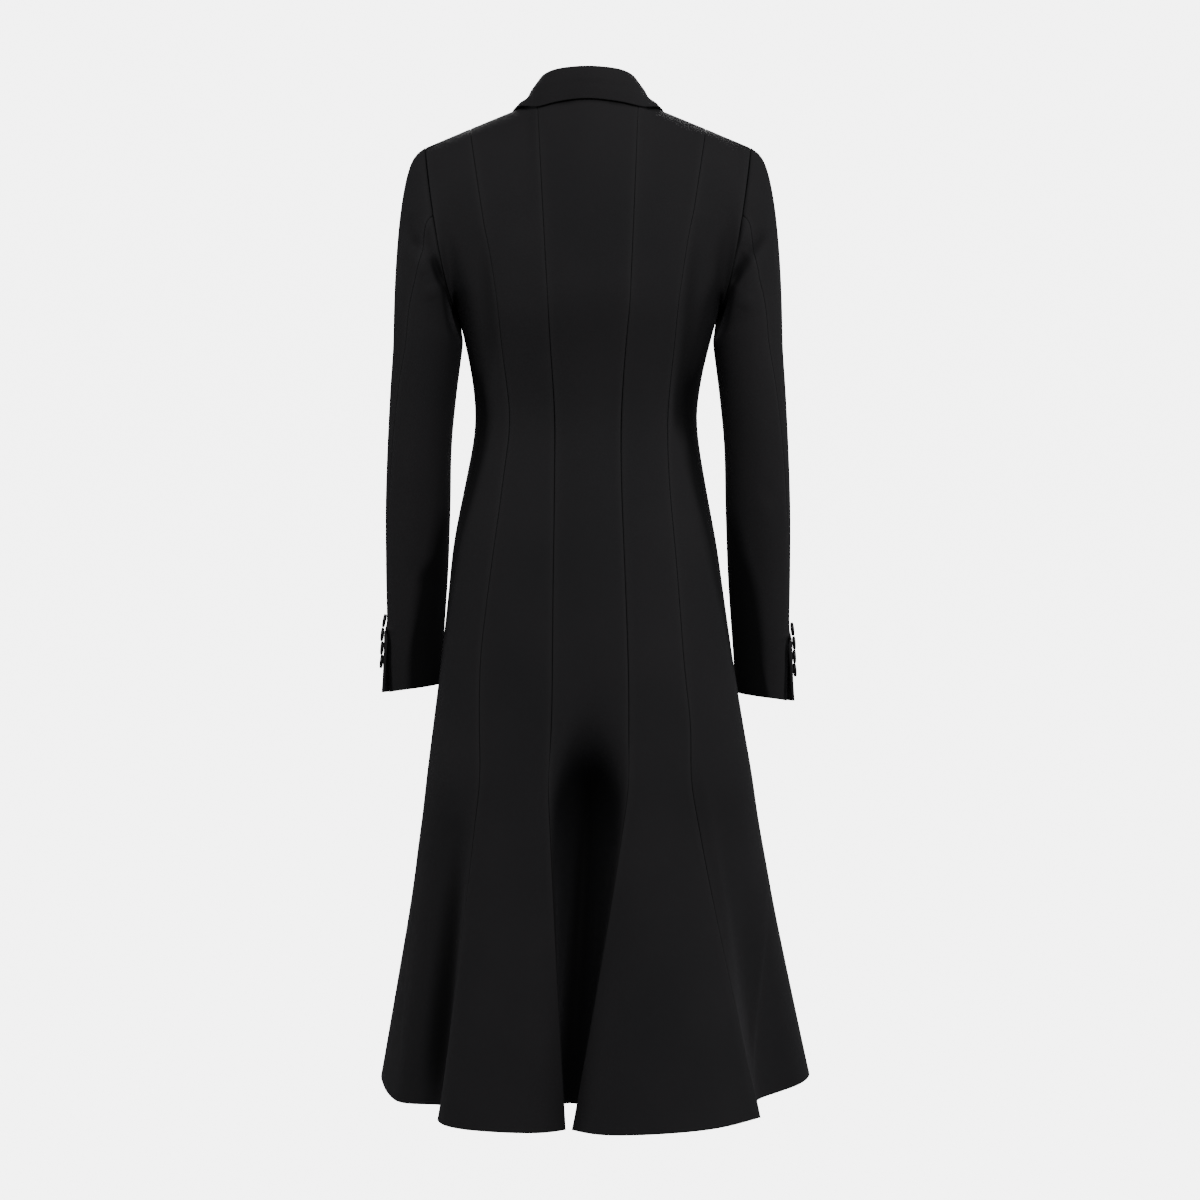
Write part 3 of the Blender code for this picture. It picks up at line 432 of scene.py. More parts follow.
# %% Push each sheet out and subdivide it
BODY_LEVELS = 2
SLEEVE_LEVELS = 3
FIT_ROUNDS = 4
FLOW = {"boundary_smooth": "PRESERVE_CORNERS"}


def apply_modifier(piece, name, kind, **settings):
    """Adds one modifier to a piece and applies it."""
    choose(piece)
    modifier = piece.modifiers.new(name, kind)
    for key, value in settings.items():
        setattr(modifier, key, value)
    bpy.ops.object.modifier_apply(modifier=name)


def push_out(sheet):
    """Moves a sheet's points until its smooth form runs through where they were."""
    measured = [vertex.co.copy() for vertex in sheet.data.vertices]
    smooth = sheet.modifiers.new("trial", "SUBSURF")
    smooth.levels = BODY_LEVELS
    for key, value in FLOW.items():
        setattr(smooth, key, value)
    for turn in range(FIT_ROUNDS):
        trial = sheet.evaluated_get(bpy.context.evaluated_depsgraph_get())
        mesh = trial.to_mesh()
        misses = [place - mesh.vertices[row].co for row, place in enumerate(measured)]
        trial.to_mesh_clear()
        for vertex, miss in zip(sheet.data.vertices, misses):
            vertex.co += miss
        sheet.data.update()
    sheet.modifiers.remove(smooth)
    return max(miss.length for miss in misses)


for panel, sheet in sheets.items():
    last_miss = push_out(sheet)
    print(panel, "runs within %.2f mm of its measured points" % (last_miss * 1000))
    levels = SLEEVE_LEVELS if panel.startswith("sleeve") else BODY_LEVELS
    apply_modifier(sheet, "flow", "SUBSURF", levels=levels, **FLOW)

# %% Even the points, and slide the first line to the edge
SEAM_LINE = 0.0030
RELAX = 4
NAPE_RELAX = 26
NAPE_LOWEST = -0.24
HALF_WAY = 0.5


def slide_to_edge(sheet):
    """Slides each point that is joined to the border up to it, along the edge that joins them."""
    places = [vertex.co.copy() for vertex in sheet.data.vertices]
    border = set(border_loop(sheet.data))
    for pair in sheet.data.edge_keys:
        if len(border.intersection(pair)) == 1:
            inner, outer = sorted(pair, key=border.__contains__)
            way = places[inner] - places[outer]
            sheet.data.vertices[inner].co -= way * max(0.0, 1.0 - SEAM_LINE / way.length)


for panel, sheet in sheets.items():
    border = set(border_loop(sheet.data))
    edit(sheet)
    pick(sheet, lambda point: point.index not in border, "VERT")
    bpy.ops.mesh.vertices_smooth(factor=HALF_WAY, repeat=RELAX)
    if panel.startswith("back_inner"):
        pick(sheet, lambda point: point.index not in border and point.co.z > NAPE_LOWEST, "VERT")
        bpy.ops.mesh.vertices_smooth(factor=HALF_WAY, repeat=NAPE_RELAX)
    bpy.ops.object.mode_set(mode="OBJECT")
    slide_to_edge(sheet)
    print(panel, "faces after smoothing:", len(sheet.data.polygons))

# %% [markdown]
# ## The line of the sleeve's back seam
# A tailor lets the back seam of a two-piece sleeve run down close to the armhole before it turns to the
# elbow. Both sheets of the sleeve lie on one smooth surface, so the seam is moved by sliding their points
# sideways near it and setting them back on that surface. A table says how far it moves at each height.

# %% The table of shifts, and helpers
SEAM_SHIFTS = {
    # height, shift towards the body
    "left": ((-0.690, 0.0), (-0.526, 0.0), (-0.377, 0.0062), (-0.263, 0.0100), (-0.205, 0.0140),
             (-0.171, 0.0130), (-0.128, 0.0)),
    "right": ((-0.690, 0.0), (-0.526, 0.0), (-0.377, 0.0100), (-0.263, 0.0120), (-0.205, 0.0150),
              (-0.171, 0.0120), (-0.128, 0.0)),
}


def tree_of(points):
    """A search tree of points."""
    tree = KDTree(len(points))
    for row, point in enumerate(points):
        tree.insert(point, row)
    tree.balance()
    return tree


def tree_of_faces(names):
    """One search tree of the faces of the named sheets."""
    points, faces = [], []
    for name in names:
        start = len(points)
        points += [vertex.co.copy() for vertex in sheets[name].data.vertices]
        faces += [[start + i for i in face.vertices] for face in sheets[name].data.polygons]
    return BVHTree.FromPolygons(points, faces)


def between(table, height):
    """The value that a table of heights gives at one height."""
    for (low, at_low), (high, at_high) in zip(table, table[1:]):
        if height <= high:
            return at_low + (at_high - at_low) * max(0.0, (height - low) / (high - low))
    return table[-1][1]


def fading(gap, width):
    """A share that is whole where there is no gap, and dies out beyond a width."""
    return math.exp(-((gap / width) ** 2))


print("heights in each table:", len(SEAM_SHIFTS["left"]))

# %% Slide the back seams
SEAM_FOLLOW = 0.034
SEAM_FREE = 0.004
SEAM_HOLD = 0.012
SEAM_APART = 0.004
LEAST_SHIFT = 0.0001

for side, table in SEAM_SHIFTS.items():
    pair = (f"sleeve_top_{side}", f"sleeve_under_{side}")
    surface = tree_of_faces(pair)
    edges = {name: [sheets[name].data.vertices[row].co.copy() for row in border_loop(sheets[name].data)]
             for name in pair}
    other_edge = tree_of(edges[pair[1]])
    back_seam = tree_of([point for point in edges[pair[0]] if other_edge.find(point)[2] < SEAM_APART
                         and point.y < sleeve_middle(side, point.z).y])
    armhole = tree_of([sheets[name].data.vertices[row].co.copy()
                       for name in (f"back_outer_{side}", f"front_side_{side}")
                       for row in border_loop(sheets[name].data)])
    way = Vector((1 if side == "left" else -1, 0, 0))
    furthest = 0.0
    for name in pair:
        for vertex in sheets[name].data.vertices:
            gap = back_seam.find(vertex.co)[2]
            clear = max(0.0, armhole.find(vertex.co)[2] - SEAM_FREE)
            follow = fading(gap, SEAM_FOLLOW) * between(table, vertex.co.z)
            follow *= 1.0 - fading(clear, SEAM_HOLD)
            if follow > LEAST_SHIFT:
                place = surface.find_nearest(vertex.co + way * follow)[0]
                furthest = max(furthest, (place - vertex.co).length)
                vertex.co = place
        sheets[name].data.update()
    print(side, "back seam moved by up to %.1f mm" % (furthest * 1000))

# %% [markdown]
# ## Sewing the panels together
# The measured panels stand a hair apart, and some lie a little deeper than the next one. Cloth that is sewn
# meets exactly, so each edge is drawn to the middle between itself and the edge that it is sewn to. The
# pull dies out within a few centimetres, so the panel stays smooth.

# %% Which panels meet, and the points along their edges
SAMPLES = 12


def sewn_to(panel):
    """The panels that a panel shares a seam with."""
    if panel.startswith(("lapel", "collar")):
        return ()
    if panel == "back_centre":
        return ("back_inner_left", "back_inner_right")
    piece, side = panel.rsplit("_", 1)
    partners = {
        "back_inner": ("back_outer", "front", "front_side"),
        "back_outer": ("back_inner", "front_side", "front", "sleeve_top", "sleeve_under"),
        "front_side": ("back_outer", "front", "back_inner", "sleeve_top", "sleeve_under"),
        "front": ("front_side", "back_outer", "back_inner"),
        "sleeve_top": ("sleeve_under", "back_outer", "front_side"),
        "sleeve_under": ("sleeve_top", "back_outer", "front_side"),
    }[piece]
    centre = ("back_centre",) if piece == "back_inner" else ()
    return tuple(f"{partner}_{side}" for partner in partners) + centre


def points_along(mesh, loop, kept=None, count=SAMPLES):
    """Points set closely along a sheet's edge, or along the part of it whose ends are both kept."""
    found = []
    for a, b in zip(loop, loop[1:] + loop[:1]):
        if kept is None or (a in kept and b in kept):
            start, end = mesh.vertices[a].co, mesh.vertices[b].co
            found += [start.lerp(end, step / count) for step in range(count)]
    return found


def spread_inwards(mesh, loop, pulls, fade):
    """Each point's share of the pull on the nearest border point, dying out inwards."""
    edge = tree_of([mesh.vertices[row].co for row in loop])
    shares = []
    for vertex in mesh.vertices:
        _, row, gap = edge.find(vertex.co)
        shares.append(pulls[loop[row]] * fading(gap, fade))
    return shares


borders = {panel: border_loop(sheet.data) for panel, sheet in sheets.items()}
print("points round all the edges:", sum(len(loop) for loop in borders.values()))

# %% Draw the sewn edges together
SEW_REACH = 0.0041
SEW_FADE = 0.016
SEW_PASSES = 3
THREAD_GAP = 0.00004

sewn = {panel: set() for panel in sheets}
for turn in range(SEW_PASSES):
    moves = {}
    for panel, sheet in sheets.items():
        partners = [points_along(sheets[other].data, borders[other]) for other in sewn_to(panel)]
        if not partners:
            continue
        across = tree_of(sum(partners, []))
        mesh = sheet.data
        pulled = {}
        for row in borders[panel]:
            place = mesh.vertices[row].co
            target, _, gap = across.find(place)
            if gap < SEW_REACH:
                sewn[panel].add(row)
            if THREAD_GAP < gap < SEW_REACH:
                pulled[row] = (target - place) * (0.5 - THREAD_GAP / gap / 2)
            else:
                pulled[row] = Vector()
        moves[panel] = spread_inwards(mesh, borders[panel], pulled, SEW_FADE)
    for panel, shifts in moves.items():
        for vertex, shift in zip(sheets[panel].data.vertices, shifts):
            vertex.co += shift
    widest = max(shift.length for shifts in moves.values() for shift in shifts)
    print("sewing pass", turn + 1, "moved at most %.2f mm" % (widest * 1000))

# %% [markdown]
# ## Laying the collar down
# The turned-down collar is pressed until its outer edge lies close on the shoulders and the back. The edge
# itself is drawn down to the coat, least towards the front, and the pull is evened along the edge so that
# it makes no waves. The cloth beside the edge follows, and the roll above stays as it is.

# %% Lay the collar's outer edge on the coat
FALL_LIES = 0.0027
FALL_FADE = 0.024
FALL_MOST = 0.0060
FALL_REACH = 3 * FALL_MOST
FALL_FRONT = 0.030
FALL_EVEN = 14

body = tree_of_faces([name for name in sheets if name.startswith(("back", "front"))])
fall = sheets["collar_fall"].data
down = {}
for row in borders["collar_fall"]:
    place, _, _, gap = body.find_nearest(fall.vertices[row].co)
    backness = min(max((FALL_FRONT - fall.vertices[row].co.y) / FALL_FRONT, 0.0), 1.0)
    drop = min(gap - FALL_LIES, FALL_MOST) * backness if FALL_LIES < gap < FALL_REACH else 0.0
    down[row] = (place - fall.vertices[row].co).normalized() * drop
loop = borders["collar_fall"]
for turn in range(FALL_EVEN):
    down = {row: (down[before] + down[row] * 2 + down[after]) / 4
            for before, row, after in zip(loop[-1:] + loop[:-1], loop, loop[1:] + loop[:1])}
moves = spread_inwards(fall, loop, down, FALL_FADE)
for vertex, move in zip(fall.vertices, moves):
    vertex.co += move
print("collar drawn down by up to %.1f mm" % (max(move.length for move in moves) * 1000))

# %% [markdown]
# ## The flat pattern
# Cloth is woven flat, so its grain has to follow each panel as it was cut. Each sheet is unwrapped back to
# its flat pattern, turned so that the grain runs up the coat, and set to true metres. The weave uses these
# places, and the pattern's own size says what each panel was cut to.

# %% Lay each sheet out flat in metres
def flat_pattern(sheet):
    """Unwraps a sheet, grain upwards and in metres, and returns its width, length and area."""
    edit(sheet)
    bpy.ops.mesh.select_all(action="SELECT")
    bpy.ops.uv.unwrap(method="ANGLE_BASED", margin=0.0)
    bpy.ops.object.mode_set(mode="OBJECT")
    mesh = sheet.data
    places = mesh.uv_layers.active.uv
    corners = [(place.vector.copy(), mesh.vertices[loop.vertex_index].co)
               for place, loop in zip(places, mesh.loops)]
    middle_u = sum(uv.x for uv, co in corners) / len(corners)
    middle_v = sum(uv.y for uv, co in corners) / len(corners)
    middle_z = sum(co.z for uv, co in corners) / len(corners)
    rise_u = sum((uv.x - middle_u) * (co.z - middle_z) for uv, co in corners)
    rise_v = sum((uv.y - middle_v) * (co.z - middle_z) for uv, co in corners)
    turn = math.pi / 2 - math.atan2(rise_v, rise_u)
    flat = 0.0
    for face in mesh.polygons:
        points = [places[i].vector for i in face.loop_indices]
        flat += abs(sum(a.x * b.y - b.x * a.y for a, b in zip(points, points[1:] + points[:1]))) / 2
    area = sum(face.area for face in mesh.polygons)
    scale = math.sqrt(area / flat)
    cos, sin = math.cos(turn) * scale, math.sin(turn) * scale
    for i, (uv, co) in enumerate(corners):
        u, v = uv.x - middle_u, uv.y - middle_v
        places[i].vector = (u * cos - v * sin, u * sin + v * cos)
    us = [place.vector.x for place in places]
    vs = [place.vector.y for place in places]
    return max(us) - min(us), max(vs) - min(vs), area


patterns = {}
for panel, sheet in sheets.items():
    patterns[panel] = flat_pattern(sheet)
    print(panel, "pattern %.3f x %.3f m, %.4f m2" % patterns[panel])

# %% [markdown]
# ## Creases
# Firm wool hangs in soft troughs and ridges. The sleeve heads bend in short sharp creases where the arm
# hangs from the armhole, the elbows have a few shallow ones, and the skirt has long troughs beside its
# seams. Each row of the table is one of them: which part, seen from the back or the front, a line, how deep
# it goes, and how wide it spreads. A depth below nothing is a ridge. One field moves every panel of the
# body, so seams stay closed where a crease crosses them. On the sleeves the creases die out at the armhole,
# and a narrow ditch beside it lets the sleeve head sink towards its seam. How deep each point lies in a
# trough, and how near a sleeve point lies to the armhole ditch, is kept to paint shade into the colour of
# the wool.

# %% The table of creases
CREASES = (
    # part, side, start x and z, end x and z, depth, width
    ("body", "back", 0.128, -0.150, 0.110, -0.370, 0.0066, 0.013),
    ("body", "back", -0.124, -0.165, -0.112, -0.310, 0.0056, 0.012),
    ("body", "back", -0.150, -0.840, -0.184, -1.163, 0.0088, 0.015),
    ("body", "back", 0.178, -0.940, 0.194, -1.110, 0.0030, 0.016),
    ("body", "back", -0.118, -0.760, -0.166, -1.163, -0.0016, 0.007),
    ("body", "back", 0.113, -0.690, 0.196, -1.163, -0.0020, 0.007),
    ("body", "front", 0.030, -0.268, 0.088, -0.305, 0.0012, 0.010),
    ("body", "front", -0.034, -0.272, -0.084, -0.318, 0.0010, 0.012),
    ("body", "front", 0.026, -0.360, 0.074, -0.372, 0.0009, 0.008),
    ("body", "front", -0.190, -0.900, -0.200, -1.163, 0.0030, 0.024),
    ("body", "front", 0.198, -0.930, 0.214, -1.163, 0.0026, 0.022),
    ("sleeve", "back", -0.2060, -0.128, -0.2040, -0.154, 0.0036, 0.0085),
    ("sleeve", "back", -0.2040, -0.154, -0.1900, -0.170, 0.0044, 0.0080),
    ("sleeve", "back", -0.1960, -0.178, -0.1860, -0.200, -0.0022, 0.0090),
    ("sleeve", "back", -0.1860, -0.148, -0.1800, -0.172, 0.0036, 0.0060),
    ("sleeve", "back", -0.1780, -0.178, -0.1630, -0.210, 0.0070, 0.0078),
    ("sleeve", "back", -0.1830, -0.212, -0.1760, -0.228, -0.0022, 0.0090),
    ("sleeve", "back", -0.1620, -0.214, -0.1490, -0.266, 0.0050, 0.0070),
    ("sleeve", "back", 0.2070, -0.150, 0.1860, -0.176, 0.0056, 0.0090),
    ("sleeve", "back", 0.1840, -0.178, 0.1620, -0.208, 0.0072, 0.0100),
    ("sleeve", "back", 0.1800, -0.146, 0.1740, -0.166, -0.0016, 0.0080),
    ("sleeve", "back", 0.1860, -0.222, 0.1780, -0.240, -0.0024, 0.0100),
    ("sleeve", "back", 0.1620, -0.214, 0.1500, -0.264, 0.0050, 0.0070),
    ("sleeve", "back", 0.2050, -0.438, 0.2130, -0.462, 0.0012, 0.0090),
    ("sleeve", "back", -0.1950, -0.540, -0.1700, -0.560, 0.0012, 0.0120),
    ("sleeve", "front", -0.2000, -0.150, -0.1780, -0.190, 0.0040, 0.0090),
    ("sleeve", "front", -0.1860, -0.212, -0.1620, -0.236, 0.0030, 0.0080),
    ("sleeve", "front", 0.2040, -0.140, 0.1800, -0.182, 0.0038, 0.0085),
    ("sleeve", "front", 0.1900, -0.205, 0.1640, -0.232, 0.0032, 0.0090),
    ("sleeve", "front", -0.2200, -0.392, -0.1760, -0.412, 0.0022, 0.0100),
    ("sleeve", "front", -0.2120, -0.425, -0.1800, -0.430, 0.0016, 0.0080),
    ("sleeve", "front", 0.1780, -0.400, 0.2200, -0.386, 0.0020, 0.0095),
    ("sleeve", "front", 0.1820, -0.436, 0.2100, -0.424, 0.0015, 0.0080),
)
print("creases:", len(CREASES), "deepest %.1f mm" % (max(row[-2] for row in CREASES) * 1000))

# %% Pull the cloth in along each crease
CREASE_ENDS = 0.6
CREASE_BLUNT = 3
SIDE_FADE = 0.010
ARMHOLE_FADE = 0.0034
ARMHOLE_DITCH = 0.0014
ARMHOLE_WIDTH = 0.0032
ARMHOLE_PAINTED_SHADE = 0.0060
SLEEVE_CREASE_SHADE = 1.3


def crease_pull(part, point, middle_y):
    """How far the creases pull the cloth in at a point."""
    pull = 0.0
    for piece, side, x0, z0, x1, z1, depth, width in CREASES:
        depth_in = point.y - middle_y if side == "front" else middle_y - point.y
        if piece != part or depth_in < 0:
            continue
        run = Vector((x1 - x0, z1 - z0))
        reach = Vector((point.x - x0, point.z - z0))
        share = min(max(reach.dot(run) / run.length_squared, 0.0), 1.0)
        gap = (reach - run * share).length
        fade = 1.0 - abs(2.0 * share - 1.0) ** CREASE_BLUNT * CREASE_ENDS
        pull += depth * fade * fading(gap, width) * min(1.0, depth_in / SIDE_FADE)
    return pull


body_edges = [
    points_along(sheets[name].data, borders[name]) for name in sheets if name.startswith(("back", "front"))]
armholes = tree_of(sum(body_edges, []))
painted_crease_shade = {}
for panel, sheet in sheets.items():
    painted_crease_shade[panel] = [0.0] * len(sheet.data.vertices)
    if panel.startswith(("lapel", "collar")):
        continue
    part = "sleeve" if panel.startswith("sleeve") else "body"
    for vertex in sheet.data.vertices:
        point = vertex.co
        if part == "sleeve":
            gap = armholes.find(point)[2]
            ditch = fading(gap, ARMHOLE_WIDTH)
            middle_y = sleeve_middle(panel.split("_")[-1], point.z).y
            pull = crease_pull(part, point, middle_y) * (1.0 - fading(gap, ARMHOLE_FADE))
            # Painted shade: the crease depth and the armhole ditch are kept to darken the wool's colour here.
            crease_shade_amount = max(0.0, pull) * SLEEVE_CREASE_SHADE + ARMHOLE_PAINTED_SHADE * ditch
            pull += ARMHOLE_DITCH * ditch
        else:
            pull = crease_pull(part, point, BODY_MIDDLE.y)
            crease_shade_amount = max(0.0, pull)
        painted_crease_shade[panel][vertex.index] = crease_shade_amount
        vertex.co = point - outward(panel, point) * pull
print("panels creased:", sum(max(depths) > 0.0 for depths in painted_crease_shade.values()))

# %% [markdown]
# ## Pressed seams
# At each seam the cloth dips into the stitching and its folded edges show as a soft roll on both sides. The
# outermost ring of points is pulled in a little. How near each point lies to a seam is kept with the sheet,
# for the dark stitching line, the smoother pressed cloth and a painted highlight beside it. Free edges, such
# as the hem, have no seam to dip into.

# %% Press the seams
SEAM_DIP = 0.0009
SEAM_REACH = 0.0045
SEAM_SHARP = 3

for panel, sheet in sheets.items():
    mesh = sheet.data
    seam_points = points_along(mesh, borders[panel], sewn[panel])
    near = mesh.attributes.new("seam_nearness", "FLOAT", "POINT")
    if not seam_points:
        continue
    edge = tree_of(seam_points)
    for vertex in mesh.vertices:
        gap = edge.find(vertex.co)[2]
        near.data[vertex.index].value = math.exp(-gap / SEAM_REACH)
    moves = [vertex.normal * SEAM_DIP * near.data[vertex.index].value ** SEAM_SHARP
             for vertex in mesh.vertices]
    for vertex, move in zip(mesh.vertices, moves):
        vertex.co -= move
    mesh.update()
print("seams pressed")

# %% [markdown]
# ## Painted shade on sheltered cloth
# The wool's colour is darkened where shade falls, as painted shade: inside the back fold, between the
# sleeves and the body, and in the troughs of the skirt. Short feelers are sent out from every point of the
# cloth, and those that go straight out count most. The share of them that meets no other cloth says how
# open the point is, and the wool is painted darker where it is less open. A table says how strongly this
# painted shade counts at each height, most at the waist and inside the lower sleeves, and the creases add
# their own.

# %% The feelers, spread evenly
FEELERS = 56
GOLDEN_TURN = math.pi * (3 - math.sqrt(5))


def even_directions(count):
    """Directions spread evenly over a whole sphere."""
    found = []
    for k in range(count):
        z = 1 - (2 * k + 1) / count
        radius = math.sqrt(1 - z * z)
        found.append(Vector((radius * math.cos(k * GOLDEN_TURN), radius * math.sin(k * GOLDEN_TURN), z)))
    return found


directions = even_directions(FEELERS)
print("feelers:", len(directions))

# %% Feel how open each point of the cloth is, for the painted shade
FEELER_LENGTH = 0.30
FEELER_START = 0.0030
LEAST_LEAN = 0.20
EVEN_ROUNDS = 4
TROUGH_PAINTED_SHADE = 45.0
# Painted shade: how strongly a lack of openness darkens the wool at each height.
PAINTED_SHADE_BY_HEIGHT = {
    # height, strength
    "sleeve": ((-0.70, 3.2), (-0.62, 3.2), (-0.57, 2.2), (-0.52, 0.9), (-0.46, 0.35), (-0.34, 0.35),
               (-0.25, 0.6), (-0.15, 0.9), (0.0, 0.9)),
    "body": ((-1.20, 1.2), (-0.72, 1.0), (-0.65, 2.6), (-0.54, 3.2), (-0.46, 3.2), (-0.36, 2.8),
             (-0.30, 0.6), (-0.25, 0.25), (-0.15, 0.4), (-0.05, 0.8), (0.06, 1.0)),
}

coat = tree_of_faces(list(sheets))
for panel, sheet in sheets.items():
    mesh = sheet.data
    flipped = sum(outward(panel, face.center).dot(face.normal) for face in mesh.polygons) < 0
    shade_openness = []
    for vertex in mesh.vertices:
        out = -vertex.normal if flipped else vertex.normal
        start = vertex.co + out * FEELER_START
        felt = [(way.dot(out) ** 2, way) for way in directions if way.dot(out) > LEAST_LEAN]
        free = sum(weight for weight, way in felt if coat.ray_cast(start, way, FEELER_LENGTH)[0] is None)
        shade_openness.append(free / sum(weight for weight, way in felt))
    beside = [[] for vertex in mesh.vertices]
    for a, b in mesh.edge_keys:
        beside[a].append(b)
        beside[b].append(a)
    for turn in range(EVEN_ROUNDS):
        shade_openness = [
            (shade_openness[i] + sum(shade_openness[k] for k in near)) / (1 + len(near)) for i, near in enumerate(beside)]
    strengths = PAINTED_SHADE_BY_HEIGHT["sleeve" if panel.startswith("sleeve") else "body"]
    # Painted shade: the less open a point is, and the deeper its crease, the darker its colour is painted.
    shade_openness = [
        max(0.0, 1.0 - (1.0 - free) * between(strengths, vertex.co.z) - crease_shade_amount * TROUGH_PAINTED_SHADE)
        for vertex, free, crease_shade_amount in zip(mesh.vertices, shade_openness, painted_crease_shade[panel])]
    kept = mesh.attributes.new("shade_openness", "FLOAT", "POINT")
    kept.data.foreach_set("value", shade_openness)
    print(panel, "openness from %.2f to %.2f" % (min(shade_openness), max(shade_openness)), "flipped" if flipped else "")

# %% [markdown]
# ## Giving the cloth its thickness
# A coat-weight wool with its backing is about two millimetres thick. Each sheet grows inwards, because the
# measured panels are the outside. A narrow bevel rounds the cut edges.

# %% Thickness and soft edges
CLOTH = 0.0020
EDGE_ROUND = 0.0006
EDGE_ANGLE = math.radians(60)

for panel, sheet in sheets.items():
    apply_modifier(sheet, "thickness", "SOLIDIFY", thickness=CLOTH, offset=-1.0, use_even_offset=False)
    apply_modifier(
        sheet, "edge", "BEVEL", width=EDGE_ROUND, segments=2, limit_method="ANGLE", angle_limit=EDGE_ANGLE)
    choose(sheet)
    bpy.ops.object.shade_smooth()
    print(panel, "faces with both sides:", len(sheet.data.polygons))

# %% [markdown]
# ## The wool
# The coat is black gabardine: a tight, fine twill with a short nap. It is almost matte, with a faint sheen
# where the cloth turns away. The ribs of the twill are a node group, counted on the flat pattern, so that
# their pitch is true in metres. Colour wanders slightly with the dye. Shade is painted into the colour: it
# turns deepest black where the cloth is sheltered from light. The pressed seams are smoother, a painted
# highlight makes the cloth beside them a little lighter, and a dark line runs along their stitching.

# %% Node group: twill weave
def group_with(name, inputs, outputs):
    """A node group with its named inputs and outputs."""
    tree = bpy.data.node_groups.new(name, "ShaderNodeTree")
    for label, kind, value in inputs:
        socket = tree.interface.new_socket(label, in_out="INPUT", socket_type=kind)
        if value is not None:
            socket.default_value = value
    for label, kind in outputs:
        tree.interface.new_socket(label, in_out="OUTPUT", socket_type=kind)
    return tree, tree.nodes.new("NodeGroupInput"), tree.nodes.new("NodeGroupOutput")


TWILL_PITCH = 0.0006
RIB_SCALE = 0.31
RIB_WAVER = 0.6

twill, group_in, group_out = group_with(
    "twill_weave",
    (("Pattern", "NodeSocketVector", None), ("Pitch", "NodeSocketFloat", TWILL_PITCH)),
    (("Height", "NodeSocketFloat"),))
per_metre = node(twill, "ShaderNodeMath", {0: 1.0, 1: group_in.outputs["Pitch"]}, operation="DIVIDE")
counted = node(
    twill, "ShaderNodeVectorMath", {0: group_in.outputs["Pattern"], "Scale": per_metre.outputs[0]},
    operation="SCALE")
rib = node(
    twill, "ShaderNodeTexWave",
    {"Vector": counted.outputs[0], "Scale": RIB_SCALE, "Distortion": RIB_WAVER, "Detail": 1.0},
    wave_type="BANDS", bands_direction="DIAGONAL", wave_profile="SIN")
twill.links.new(rib.outputs["Fac"], group_out.inputs["Height"])
print("twill pitch", TWILL_PITCH)

# %% The wool's surface: ribs, nap and polish
NAP_SCALE = 420.0
ROUGH, PRESSED_SMOOTHER = 0.86, 0.74
BUMP_STRENGTH = 0.35
BUMP_DEPTH = 0.0003

wool, tree, shader = new_material("black_wool")
pattern = node(tree, "ShaderNodeUVMap", uv_map="UVMap")
place = node(tree, "ShaderNodeTexCoord")
weave = node(tree, "ShaderNodeGroup", node_tree=twill)
tree.links.new(pattern.outputs["UV"], weave.inputs["Pattern"])
nap = node(tree, "ShaderNodeTexNoise", {"Vector": place.outputs["Object"], "Scale": NAP_SCALE, "Detail": 4.0})
height = node(tree, "ShaderNodeMath", {0: weave.outputs["Height"], 1: nap.outputs["Fac"]}, operation="ADD")
bump = node(
    tree, "ShaderNodeBump", {"Height": height.outputs[0], "Strength": BUMP_STRENGTH, "Distance": BUMP_DEPTH})
tree.links.new(bump.outputs["Normal"], shader.inputs["Normal"])
seam = node(tree, "ShaderNodeAttribute", attribute_name="seam_nearness")
polish = node(
    tree, "ShaderNodeMapRange", {"Value": seam.outputs["Fac"], "To Min": ROUGH, "To Max": PRESSED_SMOOTHER})
tree.links.new(polish.outputs[0], shader.inputs["Roughness"])
shader.inputs["Specular IOR Level"].default_value = 0.14
shader.inputs["Sheen Weight"].default_value = 0.03
shader.inputs["Sheen Roughness"].default_value = 0.45
shader.inputs["Sheen Tint"].default_value = (0.62, 0.60, 0.66, 1.0)
print("roughness", ROUGH, "to", PRESSED_SMOOTHER)

# %% The wool's colour: dye, painted seam highlight, painted shade and stitching
DYE_SCALE = 7.0
WOOL_DARK = (0.0118, 0.0115, 0.0124, 1.0)
WOOL_LIGHT = (0.0146, 0.0138, 0.0148, 1.0)
# Painted shade colour where the cloth is sheltered from light; it also draws the dark stitching line.
WOOL_PAINTED_SHADE_AND_STITCH = (0.0012, 0.0012, 0.0014, 1.0)
# Painted highlight: the cloth beside the seams is painted a little lighter.
WOOL_PAINTED_SEAM_HIGHLIGHT = (0.0240, 0.0236, 0.0250, 1.0)
DYE_BAND = (0.3, 0.7)
SEAM_HIGHLIGHT_BAND = (0.15, 0.75, 0.15)
OPEN_BAND = (0.45, 0.88)
STITCHED_BAND = (0.86, 0.97)
MIX_SHARE, MIX_A, MIX_B, MIX_RESULT = 0, 6, 7, 2


def rising(tree, value, low, high, most=1.0, **settings):
    """A share that rises from nothing to the most while a value goes from low to high."""
    limits = {"Value": value, "From Min": low, "From Max": high, "To Max": most}
    return node(tree, "ShaderNodeMapRange", limits, **settings).outputs[0]


def mixed(tree, share, first, second):
    """Turns the first colour into the second by a share."""
    colours = {MIX_SHARE: share, MIX_A: first, MIX_B: second}
    return node(tree, "ShaderNodeMix", colours, data_type="RGBA").outputs[MIX_RESULT]


dye = node(tree, "ShaderNodeTexNoise", {"Vector": place.outputs["Object"], "Scale": DYE_SCALE, "Detail": 2.0})
opened = node(tree, "ShaderNodeAttribute", attribute_name="shade_openness")
shade = mixed(tree, rising(tree, dye.outputs["Fac"], *DYE_BAND), WOOL_DARK, WOOL_LIGHT)
